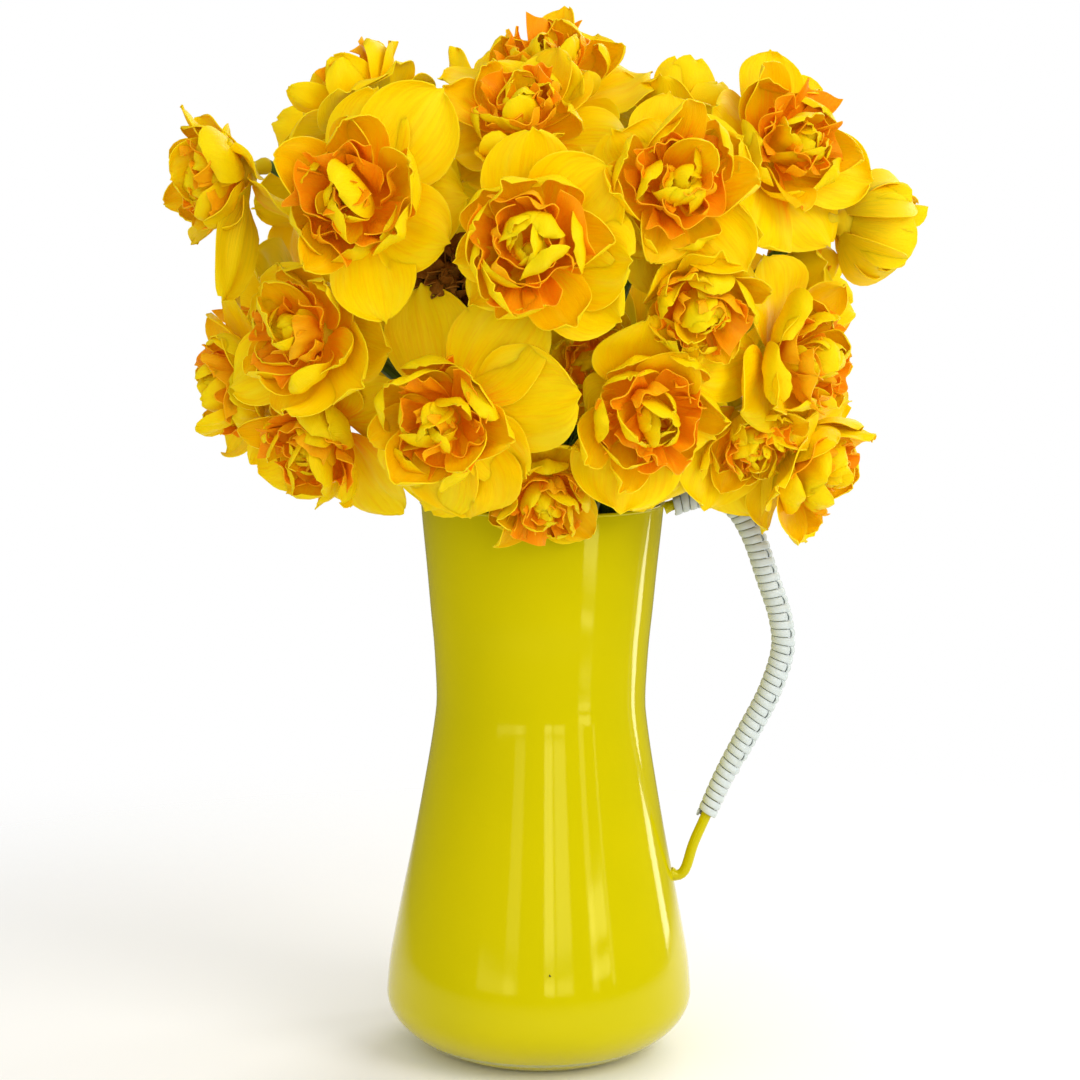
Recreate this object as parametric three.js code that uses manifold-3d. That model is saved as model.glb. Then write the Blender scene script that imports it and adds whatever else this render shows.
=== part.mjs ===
// Double daffodils in an enamelled steel jug with a handle wrapped in white cane.
// Millimetres, +Z up. The origin is the centre of the jug's foot, on the surface that it stands on.
// The handle points along +X, and the side of the bunch that shows in front faces -Y.
import * as THREE from "three";
import { mergeVertices } from "three/addons/utils/BufferGeometryUtils.js";
import Module from "manifold-3d";

const wasm = await Module();
wasm.setup();

// Driving dimensions
const GAP = 0.3; // between pieces that touch
const HOLE_GAP = 0.4; // round a stem in the water
const RIM_RADIUS = 52.4;
const RIM_HEIGHT = 241;
const FOOT_RADIUS = 40;
const WALL = 1.5;
const JUG_SIDES = 24;
const CORNER_STEPS = 3;
const SIDE_STEPS = 7;
const HANDLE_BAR_RADIUS = 2.3;
const HANDLE_STEPS = 18;
const BAR_SIDES = 6;
const CANE_RADIUS = 4.1;
const CANE_SLIM = 0.7; // how much thinner the cane is at its lower end
const CANE_RIB = 0.8; // how far each turn of cane stands out
const CANE_RIBS = 20;
const CANE_SIDES = 7;
const WATER_LEVEL = 112;
const STEM_RADIUS = 3;
const STEM_SIDES = 4;
const STEM_PITCH = 6.6; // between stems in the jug's waist
const STEM_SPREAD = 1.7; // how far the feet stand apart, compared with the waist
const STEM_FAN = 2; // how far the stems stand apart at the mouth, compared with the waist
const STEM_FOOT = 6; // height of the cut ends over the jug's foot
const NECK_LENGTH = 13; // how far a stem runs straight back behind a bloom's seat
const BUNDLE_HEIGHT = 152; // the stems press together in the jug's waist
const BUNDLE_HALF = 10; // half of the height that they stay together
const BUNDLE_SIDES = 24;
const ROSETTE_DEPTH = 14; // from a bloom's seat to the middle of its rosette
const PETAL_THICKNESS = 1.4;
const SEAT_RADIUS = 6.4; // of the cup that a bloom's petals grow from
const SEAT_SIDES = 6;
const TUBE_DEPTH = 6; // from a bloom's seat back to the end of its tube
const CUP_HEIGHT = 10.6; // from a bloom's seat up to the flat top that its heart stands on
const WAIST_RADIUS = 2.2; // of the cup inside the ring
const COLLAR_RADIUS = 5.2; // of the ring that the orange frills grow from
const COLLAR_BORE = 3.2;
const COLLAR_BAND = [3.4, 7.6]; // the ring's lower and upper height over the seat
const COLLAR_SIDES = 5;

const YELLOW = new THREE.MeshStandardMaterial({ color: 0xf2c400, roughness: 0.55 });
const ORANGE = new THREE.MeshStandardMaterial({ color: 0xf58a0c, roughness: 0.55 });
const WITHERED = new THREE.MeshStandardMaterial({ color: 0x8a5a12, roughness: 0.8 });
const GREEN = new THREE.MeshStandardMaterial({ color: 0x3f6a1c, roughness: 0.6 });
const ENAMEL = new THREE.MeshStandardMaterial({ color: 0xcbbd00, roughness: 0.12 });
const CANE = new THREE.MeshStandardMaterial({ color: 0xe9ede6, roughness: 0.45 });
const CLEAR = { transparent: true, opacity: 0.5 };
const WATER = new THREE.MeshStandardMaterial({ color: 0xcfe3dc, roughness: 0.05, ...CLEAR });

// Each bloom: the middle of its rosette (across, depth, up), where it faces (azimuth from the front towards
// the handle, and elevation, in degrees), its turn about its own axis, its width, and how far it is open. In
// a nodding bloom the upper petals fall forward, and reach is given where its outer petals are longer. A plain
// bloom shows no frills, because it faces away or has withered.
const BLOOMS = [
  { name: "far_left", at: [-137, -34, 375], face: [-66, -16], turn: 20, width: 78, open: 0.74, nod: 66, reach: 50 },
  { name: "upper_left", at: [-79, -40, 413], face: [-110, 52], turn: 10, width: 76, open: 0.85 },
  { name: "front_left", at: [-73, -106, 368], face: [-14, 4], turn: 12, width: 90, open: 1 },
  { name: "crest_left", at: [0, -48, 421], face: [-8, 56], turn: 8, width: 80, open: 0.9 },
  { name: "crest_front", at: [-9, -88, 403], face: [-8, 40], turn: 0, width: 74, open: 0.8 },
  { name: "crest_right", at: [57, -18, 408], face: [150, 58], turn: 25, width: 72, open: 0.85 },
  { name: "upper_right", at: [98, -64, 391], face: [36, 16], turn: 40, width: 82, open: 0.75 },
  { name: "far_right", at: [138, -34, 358], face: [106, -8], turn: 5, width: 62, open: 0.2 },
  { name: "front_right", at: [50, -108, 375], face: [8, 8], turn: 30, width: 86, open: 1 },
  { name: "front_middle", at: [-6, -124, 351], face: [-2, 4], turn: 0, width: 92, open: 1 },
  { name: "under_right", at: [61, -98, 327], face: [14, -24], turn: 15, width: 70, open: 0.65 },
  { name: "side_right", at: [104, -70, 306], face: [56, 0], turn: 50, width: 82, open: 0.9 },
  { name: "low_right", at: [114, -34, 260], face: [66, -24], turn: 8, width: 86, open: 0.85 },
  { name: "hanging_right", at: [86, -62, 270], face: [24, -44], turn: 22, width: 60, open: 0.35 },
  { name: "middle_right", at: [42, -94, 286], face: [12, -14], turn: 44, width: 84, open: 0.85 },
  { name: "middle_left", at: [-39, -100, 283], face: [-18, -8], turn: 28, width: 90, open: 1 },
  { name: "over_rim", at: [1, -73, 248], face: [4, -34], turn: 14, width: 66, open: 0.6 },
  { name: "side_left", at: [-97, -78, 316], face: [-42, 8], turn: 33, width: 84, open: 0.85 },
  { name: "outer_left", at: [-129, -30, 292], face: [-68, -8], turn: 48, width: 78, open: 0.85 },
  { name: "low_left", at: [-93, -54, 269], face: [-34, -26], turn: 18, width: 82, open: 0.85 },
  { name: "deep_right", at: [20, -64, 302], face: [4, -2], turn: 2, width: 54, open: 0.5 },
  { name: "behind_right", at: [110, -14, 336], face: [92, 6], turn: 36, width: 70, open: 0.7 },
  { name: "withered", at: [-39, -84, 335], face: [-10, 0], turn: 0, width: 54, open: 0.5, plain: true, material: WITHERED },
  { name: "back_crest", at: [-16, 38, 414], face: [175, 64], turn: 12, width: 82, open: 0.95, plain: true },
  { name: "back_upper_left", at: [-92, 50, 384], face: [-135, 26], turn: 30, width: 88, open: 0.9, plain: true },
  { name: "back_upper_right", at: [66, 60, 386], face: [142, 28], turn: 6, width: 88, open: 0.95, plain: true },
  { name: "back_middle", at: [-12, 104, 360], face: [-175, 12], turn: 21, width: 92, open: 1, plain: true },
  { name: "back_outer_left", at: [-122, 44, 316], face: [-112, -4], turn: 41, width: 84, open: 0.85, plain: true },
  { name: "back_outer_right", at: [116, 50, 318], face: [112, -6], turn: 17, width: 84, open: 0.9, plain: true },
  { name: "back_low_left", at: [-62, 84, 290], face: [-150, -18], turn: 3, width: 88, open: 0.9, plain: true },
  { name: "back_low_right", at: [52, 92, 294], face: [155, -16], turn: 27, width: 90, open: 0.95, plain: true },
];

// The jug's wall, from the corner up to the rim, read off the outline: radius, height.
const JUG_SIDE = [
  [66.3, 28],
  [62.6, 53.5],
  [57.3, 80.4],
  [51, 113.7],
  [45.9, 147],
  [45.6, 166],
  [48.6, 200],
  [RIM_RADIUS, RIM_HEIGHT],
];

// The handle's line in the plane of +X and +Z, from the rim to the wall below.
const HANDLE_LINE = [
  [54.8, 238.4],
  [63, 241.4],
  [72.6, 243],
  [82.6, 238.2],
  [90, 227],
  [97, 208],
  [103, 190],
  [104.2, 177],
  [99, 158.5],
  [89.4, 139],
  [79.6, 119.8],
  [71.4, 100.6],
  [67, 90],
  [63.9, 79.5],
];
// Where the bar turns in to the wall.
const HANDLE_HOOK = [
  [61.8, 75.8],
  [57.6, 77],
];
const CANE_SHARE = [0.015, 0.885]; // the stretch of the handle's line that the cane covers

// One number from 0 to 1 that is always the same for the same three whole numbers.
function chance(a, b, c) {
  const x = Math.sin(a * 12.9898 + b * 78.233 + c * 37.719) * 43758.5453;
  return x - Math.floor(x);
}

function polar(radius, angle, height = 0) {
  return new THREE.Vector3(radius * Math.cos(angle), radius * Math.sin(angle), height);
}

// Solids

function solid(geometry) {
  const bare = geometry.index ? geometry.toNonIndexed() : geometry.clone();
  bare.deleteAttribute("normal");
  bare.deleteAttribute("uv");
  const merged = mergeVertices(bare, 1e-4);
  const mesh = new wasm.Mesh({
    numProp: 3,
    vertProperties: merged.attributes.position.array,
    triVerts: new Uint32Array(merged.index.array),
  });
  return new wasm.Manifold(mesh);
}

function geometryOf(manifold) {
  const mesh = manifold.getMesh();
  const points = new Float32Array(mesh.numVert * 3);
  for (let i = 0; i < mesh.numVert; i++) {
    points.set(mesh.vertProperties.subarray(i * mesh.numProp, i * mesh.numProp + 3), i * 3);
  }
  const geometry = new THREE.BufferGeometry();
  geometry.setAttribute("position", new THREE.BufferAttribute(points, 3));
  geometry.setIndex(new THREE.BufferAttribute(mesh.triVerts, 1));
  geometry.computeVertexNormals();
  return geometry;
}

function named(name, manifold, material) {
  const mesh = new THREE.Mesh(geometryOf(manifold), material);
  mesh.name = name;
  return mesh;
}

// A closed surface, gathered from flat faces that can have holes, and from walls between rings of points.
class Surface {
  triangles = [];

  add(a, b, c) {
    if (a.equals(b) || b.equals(c) || c.equals(a)) return;
    this.triangles.push(a, b, c);
  }

  // A flat face, counter-clockwise as seen from outside.
  face(outline, holes = []) {
    const { normal } = new THREE.Plane().setFromCoplanarPoints(outline[0], outline[1], outline[2]);
    const across = outline[1].clone().sub(outline[0]).normalize();
    const along = normal.clone().cross(across);
    const flat = (points) => points.map((p) => new THREE.Vector2(p.dot(across), p.dot(along)));
    const points = [...outline, ...holes.flat()];
    for (const [a, b, c] of THREE.ShapeUtils.triangulateShape(flat(outline), holes.map(flat))) {
      this.add(points[a], points[b], points[c]);
    }
  }

  // The split of the quads alternates, so that both faces of a thin blade split alike.
  wall(from, to) {
    from.forEach((a, i) => {
      const next = (i + 1) % from.length;
      const [b, c, d] = [from[next], to[next], to[i]];
      if (i % 2) {
        this.add(a, b, c);
        this.add(a, c, d);
      } else {
        this.add(a, b, d);
        this.add(b, c, d);
      }
    });
  }

  walls(rings) {
    rings.slice(1).forEach((ring, i) => this.wall(rings[i], ring));
  }

  solid() {
    return solid(new THREE.BufferGeometry().setFromPoints(this.triangles));
  }
}

// A lathe stands on the Y axis, so it is turned to stand on Z.
function lathe(profile, sides) {
  return solid(new THREE.LatheGeometry(profile, sides).rotateX(Math.PI / 2));
}

// A path that goes straight from point to point, with one extrusion step for each stretch.
class Route extends THREE.Curve {
  constructor(points) {
    super();
    this.points = points;
  }

  getPoint(share, target = new THREE.Vector3()) {
    const place = share * (this.points.length - 1);
    const from = Math.min(Math.floor(place), this.points.length - 2);
    return target.lerpVectors(this.points[from], this.points[from + 1], place - from);
  }

  getPointAt(share, target) {
    return this.getPoint(share, target);
  }

  // At a corner the tangent halves the angle, so that both stretches keep their width.
  getTangentAt(share, target = new THREE.Vector3()) {
    const last = this.points.length - 1;
    const near = Math.round(share * last);
    const at = this.points[near];
    const arriving = at.clone().sub(this.points[Math.max(0, near - 1)]).normalize();
    const leaving = this.points[Math.min(last, near + 1)].clone().sub(at).normalize();
    return target.addVectors(arriving, leaving).normalize();
  }
}

function rod(points, radius, sides) {
  const corners = Array.from({ length: sides }, (_, i) => {
    const corner = polar(radius, ((i + 0.5) / sides) * 2 * Math.PI);
    return new THREE.Vector2(corner.x, corner.y);
  });
  const options = { steps: points.length - 1, bevelEnabled: false, extrudePath: new Route(points) };
  return solid(new THREE.ExtrudeGeometry(new THREE.Shape(corners), options));
}

// Jug

// Half of the jug's outline: foot, rounded corner and side, moved in by an inset for the inner face.
function jugOutline(inset) {
  const corner = new THREE.CubicBezierCurve(
    new THREE.Vector2(FOOT_RADIUS, 0),
    new THREE.Vector2(FOOT_RADIUS + 1, 1.5),
    new THREE.Vector2(73, 10.3),
    new THREE.Vector2(...JUG_SIDE[0]),
  );
  const side = new THREE.SplineCurve(JUG_SIDE.map(([radius, height]) => new THREE.Vector2(radius, height)));
  const outer = [...corner.getPoints(CORNER_STEPS), ...side.getPoints(SIDE_STEPS).slice(1)];
  return outer.map((p) => new THREE.Vector2(p.x - inset, Math.max(p.y, inset)));
}

function jugBody() {
  const lip = new THREE.Vector2(RIM_RADIUS - WALL / 2, RIM_HEIGHT + WALL / 2);
  const outside = [new THREE.Vector2(0, 0), ...jugOutline(0), lip];
  const inside = [...jugOutline(WALL).reverse(), new THREE.Vector2(0, WALL)];
  return lathe([...outside, ...inside], JUG_SIDES);
}

// The jug's wall grown by the gap, to cut what meets it.
function jugAllowance() {
  const top = RIM_HEIGHT + WALL;
  const outside = [new THREE.Vector2(0, 0), ...jugOutline(-GAP), new THREE.Vector2(RIM_RADIUS + GAP, top)];
  const mouth = new THREE.Vector2(RIM_RADIUS - WALL - GAP, top);
  const inside = [mouth, ...jugOutline(WALL + GAP).reverse(), new THREE.Vector2(0, WALL + GAP)];
  return lathe([...outside, ...inside], JUG_SIDES);
}

// Handle

const handle = new THREE.CatmullRomCurve3(
  HANDLE_LINE.map(([across, up]) => new THREE.Vector3(across, 0, up)),
  false,
  "centripetal",
);
const handleSteps = handle.getSpacedPoints(HANDLE_STEPS);

// The steel bar runs along the handle's line, then round the hook and in to the wall.
function handleBar() {
  const hook = HANDLE_HOOK.map(([across, up]) => new THREE.Vector3(across, 0, up));
  return rod([...handleSteps, ...hook], HANDLE_BAR_RADIUS, BAR_SIDES).subtract(jugAllowance());
}

// The cane sleeve is turned with its ribs while straight, bent along the handle's line, and bored for the bar.
function caneWrap() {
  const ribs = Array.from({ length: CANE_RIBS * 2 + 1 }, (_, k) => {
    const share = k / (CANE_RIBS * 2);
    const slim = CANE_SLIM * Math.max(0, (share - 0.75) / 0.25);
    return new THREE.Vector2(CANE_RADIUS - slim + (k % 2 ? 0.5 : -0.5) * CANE_RIB, share);
  });
  const profile = [new THREE.Vector2(0, 0), ...ribs, new THREE.Vector2(0, 1)];
  const geometry = new THREE.LatheGeometry(profile, CANE_SIDES);
  const position = geometry.attributes.position;
  for (let i = 0; i < position.count; i++) {
    const share = CANE_SHARE[0] + position.getY(i) * (CANE_SHARE[1] - CANE_SHARE[0]);
    const tangent = handle.getTangentAt(share);
    const across = new THREE.Vector3(tangent.z, 0, -tangent.x);
    const point = handle.getPointAt(share).addScaledVector(across, position.getX(i));
    position.setXYZ(i, point.x, -position.getZ(i), point.z);
  }
  const bore = rod(handleSteps, HANDLE_BAR_RADIUS + GAP, BAR_SIDES);
  return solid(geometry).subtract(bore).subtract(jugAllowance());
}

// Blooms

function facing([azimuth, elevation]) {
  const a = THREE.MathUtils.degToRad(azimuth);
  const e = THREE.MathUtils.degToRad(elevation);
  return new THREE.Vector3(Math.sin(a) * Math.cos(e), -Math.cos(a) * Math.cos(e), Math.sin(e));
}

// A bloom's place: its seat behind the rosette, and its own axes with Z where it faces.
function placeOf(bloom) {
  const forward = facing(bloom.face);
  const seat = new THREE.Vector3(...bloom.at).addScaledVector(forward, -ROSETTE_DEPTH);
  const right = new THREE.Vector3().crossVectors(new THREE.Vector3(0, 0, 1), forward).normalize();
  const top = new THREE.Vector3().crossVectors(forward, right);
  const turn = new THREE.Matrix4().makeRotationZ(THREE.MathUtils.degToRad(bloom.turn));
  const matrix = new THREE.Matrix4().makeBasis(right, top, forward).multiply(turn).setPosition(seat);
  return { seat, forward, matrix: matrix.elements };
}

// The four points where a petal grows out of a flat face: left, reverse, right and face of its lens section.
function rootOn(centre, aside, front, halfWidth) {
  const thick = PETAL_THICKNESS / 2;
  return [
    centre.clone().addScaledVector(aside, -halfWidth),
    centre.clone().addScaledVector(front, -thick),
    centre.clone().addScaledVector(aside, halfWidth),
    centre.clone().addScaledVector(front, thick),
  ];
}

// A petal is a thin blade, given as rings of four points. Its midrib leaves the root at one tilt from the
// bloom's axis and ends at another. Rows give the share of its length and of its half width. A last row short
// of the full length closes to an edge, whose middle reaches on to the full length and so rounds the petal.
function bladeRings({ turn, length, width, tilts, cup, root, rows, lift = [0, 0] }) {
  const out = polar(1, turn);
  const aside = polar(1, turn + Math.PI / 2);
  const centre = root[0].clone().add(root[2]).multiplyScalar(0.5);
  let along = 0;
  const inwardAt = (tilt) => out.clone().multiplyScalar(-Math.cos(tilt)).setZ(Math.sin(tilt));
  const goTo = (share) => {
    const middle = THREE.MathUtils.lerp(tilts[0], tilts[1], (along + share) / 2);
    const step = (share - along) * length;
    centre.addScaledVector(out, Math.sin(middle) * step);
    centre.z += Math.cos(middle) * step;
    along = share;
    return centre.clone();
  };
  const rings = rows.map(([share, broad], row) => {
    const middle = goTo(share);
    const inward = inwardAt(THREE.MathUtils.lerp(tilts[0], tilts[1], share));
    const reach = broad * (width / 2);
    const edge = (side, raised) => {
      const lifted = cup * reach + raised * broad;
      return middle.clone().addScaledVector(aside, side * reach).addScaledVector(inward, lifted);
    };
    const [left, right] = [edge(-1, lift[0]), edge(1, lift[1])];
    if (row === rows.length - 1 && share < 1) {
      const tip = goTo(1);
      return [left, tip, right, tip];
    }
    if (!broad) return Array(4).fill(middle);
    const half = inward.clone().multiplyScalar(PETAL_THICKNESS / 2);
    return [left, middle.clone().sub(half), right, middle.clone().add(half)];
  });
  return [root, ...rings];
}

function addBlade(surface, rings) {
  surface.walls(rings);
  const [, reverse, , face] = rings.at(-1);
  if (!reverse.equals(face)) surface.face(rings.at(-1));
}

function bladeSolid(rings) {
  const surface = new Surface();
  surface.face(rings[0].toReversed());
  addBlade(surface, rings);
  return surface.solid();
}

function boxed(manifold) {
  return { solid: manifold, box: manifold.boundingBox() };
}

function isClear(one, other) {
  for (let k = 0; k < 3; k++) {
    if (one.box.min[k] - GAP > other.box.max[k]) return true;
    if (other.box.min[k] - GAP > one.box.max[k]) return true;
  }
  return one.solid.minGap(other.solid, 2 * GAP) > GAP;
}

// A petal is tried as it is and then bent, shortened or swung aside, until it is clear of all that stands round
// it: degrees of bend, share of the length, degrees of swing.
const TRIES = [
  [0, 1, 0],
  [-9, 1, 0],
  [9, 1, 0],
  [-5, 1, 11],
  [5, 1, -11],
  [-18, 0.97, 0],
  [18, 0.97, 0],
  [-14, 0.97, -12],
  [14, 0.97, 12],
  [-28, 0.94, 0],
  [28, 0.94, 0],
  [-38, 0.9, 0],
  [-48, 0.86, 0],
  [38, 0.9, 0],
  [-58, 0.8, 0],
  [-22, 0.72, 8],
  [22, 0.72, -8],
  [-66, 0.66, 0],
];

function fitted(petal, matrix, around) {
  for (const [bend, share, swing] of TRIES) {
    const change = THREE.MathUtils.degToRad(bend);
    const tilts = [petal.tilts[0] + change * 0.6, petal.tilts[1] + change];
    const turn = petal.turn + THREE.MathUtils.degToRad(swing);
    const rings = bladeRings({ ...petal, tilts, turn, length: petal.length * share });
    const blade = boxed(bladeSolid(rings).transform(matrix));
    if (around.every((other) => isClear(blade, other))) return { ...petal, rings, blade };
  }
  return null;
}

const ROUND_ROWS = [[0.5, 1], [0.86, 0.74]];
const POINTED_ROWS = [[0.6, 1], [1, 0]];
const FLARED_ROWS = [[1, 1]];

// The root on a side of a many-sided post.
function sideRoot(side, sides, radius, height, halfWidth) {
  const angle = (side / sides) * 2 * Math.PI;
  const centre = polar(radius * Math.cos(Math.PI / sides), angle, height);
  return rootOn(centre, polar(1, angle + Math.PI / 2), new THREE.Vector3(0, 0, 1), halfWidth);
}

// The six broad outer petals, three of them seated a little behind the others.
function tepals(bloom, index, matrix) {
  const reach = bloom.reach ?? bloom.width / 2;
  const axes = new THREE.Matrix4().fromArray(matrix);
  return Array.from({ length: 6 }, (_, side) => {
    const front = side % 2;
    const turn = (side / 6) * 2 * Math.PI + (chance(index, side, 1) - 0.5) * 0.16;
    const fall = Math.max(0, polar(1, turn).transformDirection(axes).z) * (bloom.nod ?? 0);
    const spread = THREE.MathUtils.degToRad(38 + 52 * bloom.open + (chance(index, side, 2) - 0.5) * 18 - fall);
    return {
      side,
      turn,
      length: (reach - SEAT_RADIUS) * (1.06 + 0.12 * chance(index, side, 6)),
      width: (front ? 0.8 : 0.92) * reach,
      tilts: [spread * (front ? 0.84 : 0.96), spread * 1.06],
      cup: front ? 0.14 : -0.04,
      root: sideRoot(side, SEAT_SIDES, SEAT_RADIUS, front ? -1.2 : -3, 2.2),
      rows: ROUND_ROWS,
      lift: [(chance(index, side, 4) - 0.5) * 4, (chance(index, side, 5) - 0.5) * 4],
    };
  });
}

// A petal of an inner ring, with its turn, tilt and size varied a little.
function innerPetal(index, layer, side, { turn, length, width, tilts, ...shape }) {
  const lean = (chance(index, side, layer + 1) - 0.5) * 0.2;
  return {
    side,
    turn: turn + (chance(index, side, layer) - 0.5) * 0.2,
    length: length * (0.9 + 0.2 * chance(index, side, layer + 2)),
    width: width * (0.85 + 0.3 * chance(index, side, layer + 3)),
    tilts: tilts.map((tilt) => THREE.MathUtils.degToRad(tilt) + lean),
    ...shape,
  };
}

// Five of the six sides of the seat carry a middle petal, turned to show between two tepals.
function middlePetals(bloom, index) {
  const size = bloom.width / 80;
  const wide = 0.6 + 0.4 * bloom.open;
  return Array.from({ length: 5 }, (_, side) =>
    innerPetal(index, 10, side, {
      turn: ((side + 0.4 + (side - 2) * 0.12) / SEAT_SIDES) * 2 * Math.PI,
      length: 31 * size,
      width: 22 * size,
      tilts: [76 * wide, 12],
      cup: 0.3,
      root: sideRoot(side, SEAT_SIDES, SEAT_RADIUS, 1, 2),
      rows: bloom.plain ? POINTED_ROWS : ROUND_ROWS,
    }),
  );
}

function frills(bloom, index) {
  const size = bloom.width / 80;
  const wide = 0.6 + 0.4 * bloom.open;
  return Array.from({ length: COLLAR_SIDES }, (_, side) =>
    innerPetal(index, 30, side, {
      turn: (side / COLLAR_SIDES) * 2 * Math.PI,
      length: 23 * size,
      width: 15 * size,
      tilts: [54 * wide, 18],
      cup: 0.3,
      root: sideRoot(side, COLLAR_SIDES, COLLAR_RADIUS, (COLLAR_BAND[0] + COLLAR_BAND[1]) / 2, 1.8),
      rows: FLARED_ROWS,
    }),
  );
}

// The heart's petals stand on the flat top of the cup.
function heartPetals(bloom, index) {
  const size = bloom.width / 80;
  return Array.from({ length: 3 }, (_, side) => {
    const turn = ((side + 0.25) / 3) * 2 * Math.PI;
    const root = rootOn(polar(2.1, turn, CUP_HEIGHT), polar(1, turn + Math.PI / 2), polar(-1, turn), 1.3);
    return innerPetal(index, 20, side, {
      turn,
      length: 18 * size,
      width: 11 * size,
      tilts: [40, -24],
      cup: 0.4,
      root,
      rows: POINTED_ROWS,
    });
  });
}

// A ring of corners of a post. The middle of its first side points along +X.
function postRing(height, radius, sides) {
  return Array.from({ length: sides }, (_, i) => polar(radius, ((i - 0.5) / sides) * 2 * Math.PI, height));
}

// The side faces between two rings of a post, with the roots of the petals left open.
function sidesWithRoots(surface, lower, upper, petals) {
  lower.forEach((corner, side) => {
    const next = (side + 1) % lower.length;
    const roots = petals.filter((petal) => petal.side === side).map((petal) => petal.root);
    surface.face([corner, lower[next], upper[next], upper[side]], roots);
  });
}

// The flower's tube and cup: a seat for the outer petals, a slim waist, and a flat top for the heart.
function yellowBody(outer, heart) {
  const ring = (height, radius) => postRing(height, radius, SEAT_SIDES);
  const [tube, seat, shoulder] = [ring(-TUBE_DEPTH, 2.8), ring(-4.6, SEAT_RADIUS), ring(2.4, SEAT_RADIUS)];
  const [waist, neck, top] = [ring(3, WAIST_RADIUS), ring(8, WAIST_RADIUS), ring(CUP_HEIGHT, 4.6)];
  const surface = new Surface();
  surface.face(tube.toReversed());
  surface.wall(tube, seat);
  sidesWithRoots(surface, seat, shoulder, outer);
  surface.walls([shoulder, waist, neck, top]);
  surface.face(top, heart.map((petal) => petal.root));
  for (const { rings } of [...outer, ...heart]) addBlade(surface, rings);
  return surface.solid();
}

// The ring that the orange frills grow from goes round the cup's waist.
function orangeBody(petals) {
  const [lowerBore, upperBore] = COLLAR_BAND.map((height) => postRing(height, COLLAR_BORE, COLLAR_SIDES));
  const [lower, upper] = COLLAR_BAND.map((height) => postRing(height, COLLAR_RADIUS, COLLAR_SIDES));
  const surface = new Surface();
  sidesWithRoots(surface, lower, upper, petals);
  surface.wall(upper, upperBore);
  surface.wall(upperBore, lowerBore);
  surface.wall(lowerBore, lower);
  for (const { rings } of petals) addBlade(surface, rings);
  return surface.solid();
}

// Stems

// How far a bloom stands out from the jug's axis, as a share of a right angle seen from the jug's mouth.
function lean(bloom) {
  const [x, y, z] = bloom.at;
  return Math.atan2(Math.hypot(x, y), z - RIM_HEIGHT + 60) / (Math.PI / 2);
}

// Each stem's place in the waist lies on its bloom's own side, and the stems push each other apart.
function waistPlaces() {
  const places = BLOOMS.map((bloom) => {
    const side = new THREE.Vector2(bloom.at[0], bloom.at[1]);
    return side.setLength(30 * lean(bloom));
  });
  for (let round = 0; round < 300; round++) {
    for (const one of places) {
      for (const other of places) {
        if (one === other) continue;
        const apart = new THREE.Vector2().subVectors(other, one);
        const overlap = STEM_PITCH - apart.length();
        if (overlap <= 0) continue;
        const push = apart.setLength(overlap / 2);
        one.sub(push);
        other.add(push);
      }
    }
    for (const one of places) one.multiplyScalar(0.998);
  }
  return places;
}

const waist = waistPlaces();
const bundleRadius = Math.max(...waist.map((place) => place.length())) + STEM_RADIUS + 1;

// From behind the bloom over its neck and down through the jug's mouth to the waist.
function stemAbove(bloom, place) {
  const { seat, forward } = placeOf(bloom);
  const behind = (distance) => seat.clone().addScaledVector(forward, -distance);
  const low = Math.max(0, 1 - (bloom.at[2] - RIM_HEIGHT) / 60);
  const mouth = new THREE.Vector3(place.x * STEM_FAN, place.y * STEM_FAN, RIM_HEIGHT + 12 + 16 * low);
  return [
    behind(TUBE_DEPTH + GAP),
    behind(NECK_LENGTH),
    behind(NECK_LENGTH + 7).lerp(mouth, 0.16),
    mouth,
    new THREE.Vector3(place.x, place.y, BUNDLE_HEIGHT),
  ];
}

function stemBelow({ x, y }) {
  const foot = new THREE.Vector3(x * STEM_SPREAD, y * STEM_SPREAD, STEM_FOOT);
  return [new THREE.Vector3(x, y, BUNDLE_HEIGHT), foot];
}

// Where the stems press together they make one fluted bundle.
function bundleCore() {
  const outline = Array.from({ length: BUNDLE_SIDES }, (_, i) => {
    const point = polar(bundleRadius + (i % 2 ? 0.8 : 0), (i / BUNDLE_SIDES) * 2 * Math.PI);
    return new THREE.Vector2(point.x, point.y);
  });
  const options = { depth: 2 * BUNDLE_HALF, bevelEnabled: false };
  const geometry = new THREE.ExtrudeGeometry(new THREE.Shape(outline), options);
  return solid(geometry.translate(0, 0, BUNDLE_HEIGHT - BUNDLE_HALF));
}

// The water stands inside the jug, with a plain hole round each stem.
function water() {
  const wall = jugOutline(WALL + GAP);
  const above = wall.findIndex((point) => point.y > WATER_LEVEL);
  const [from, to] = [wall[above - 1], wall[above]];
  const edge = from.clone().lerp(to, (WATER_LEVEL - from.y) / (to.y - from.y));
  const bottom = new THREE.Vector2(0, WALL + GAP);
  const profile = [bottom, ...wall.slice(0, above), edge, new THREE.Vector2(0, WATER_LEVEL)];
  const holes = waist.map((place) => {
    const [top, foot] = stemBelow(place);
    return rod([top, foot.lerp(top, -GAP / (top.z - foot.z))], STEM_RADIUS + HOLE_GAP, STEM_SIDES);
  });
  return lathe(profile, JUG_SIDES).subtract(wasm.Manifold.union(holes));
}

// The whole

const jug = jugBody();
const steel = handleBar();
const cane = caneWrap();
const stems = BLOOMS.map((bloom, i) => rod(stemAbove(bloom, waist[i]), STEM_RADIUS, STEM_SIDES));
const feet = waist.map((place) => rod(stemBelow(place), STEM_RADIUS, STEM_SIDES));
const standing = [jug, steel, cane, ...stems].map(boxed);

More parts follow.
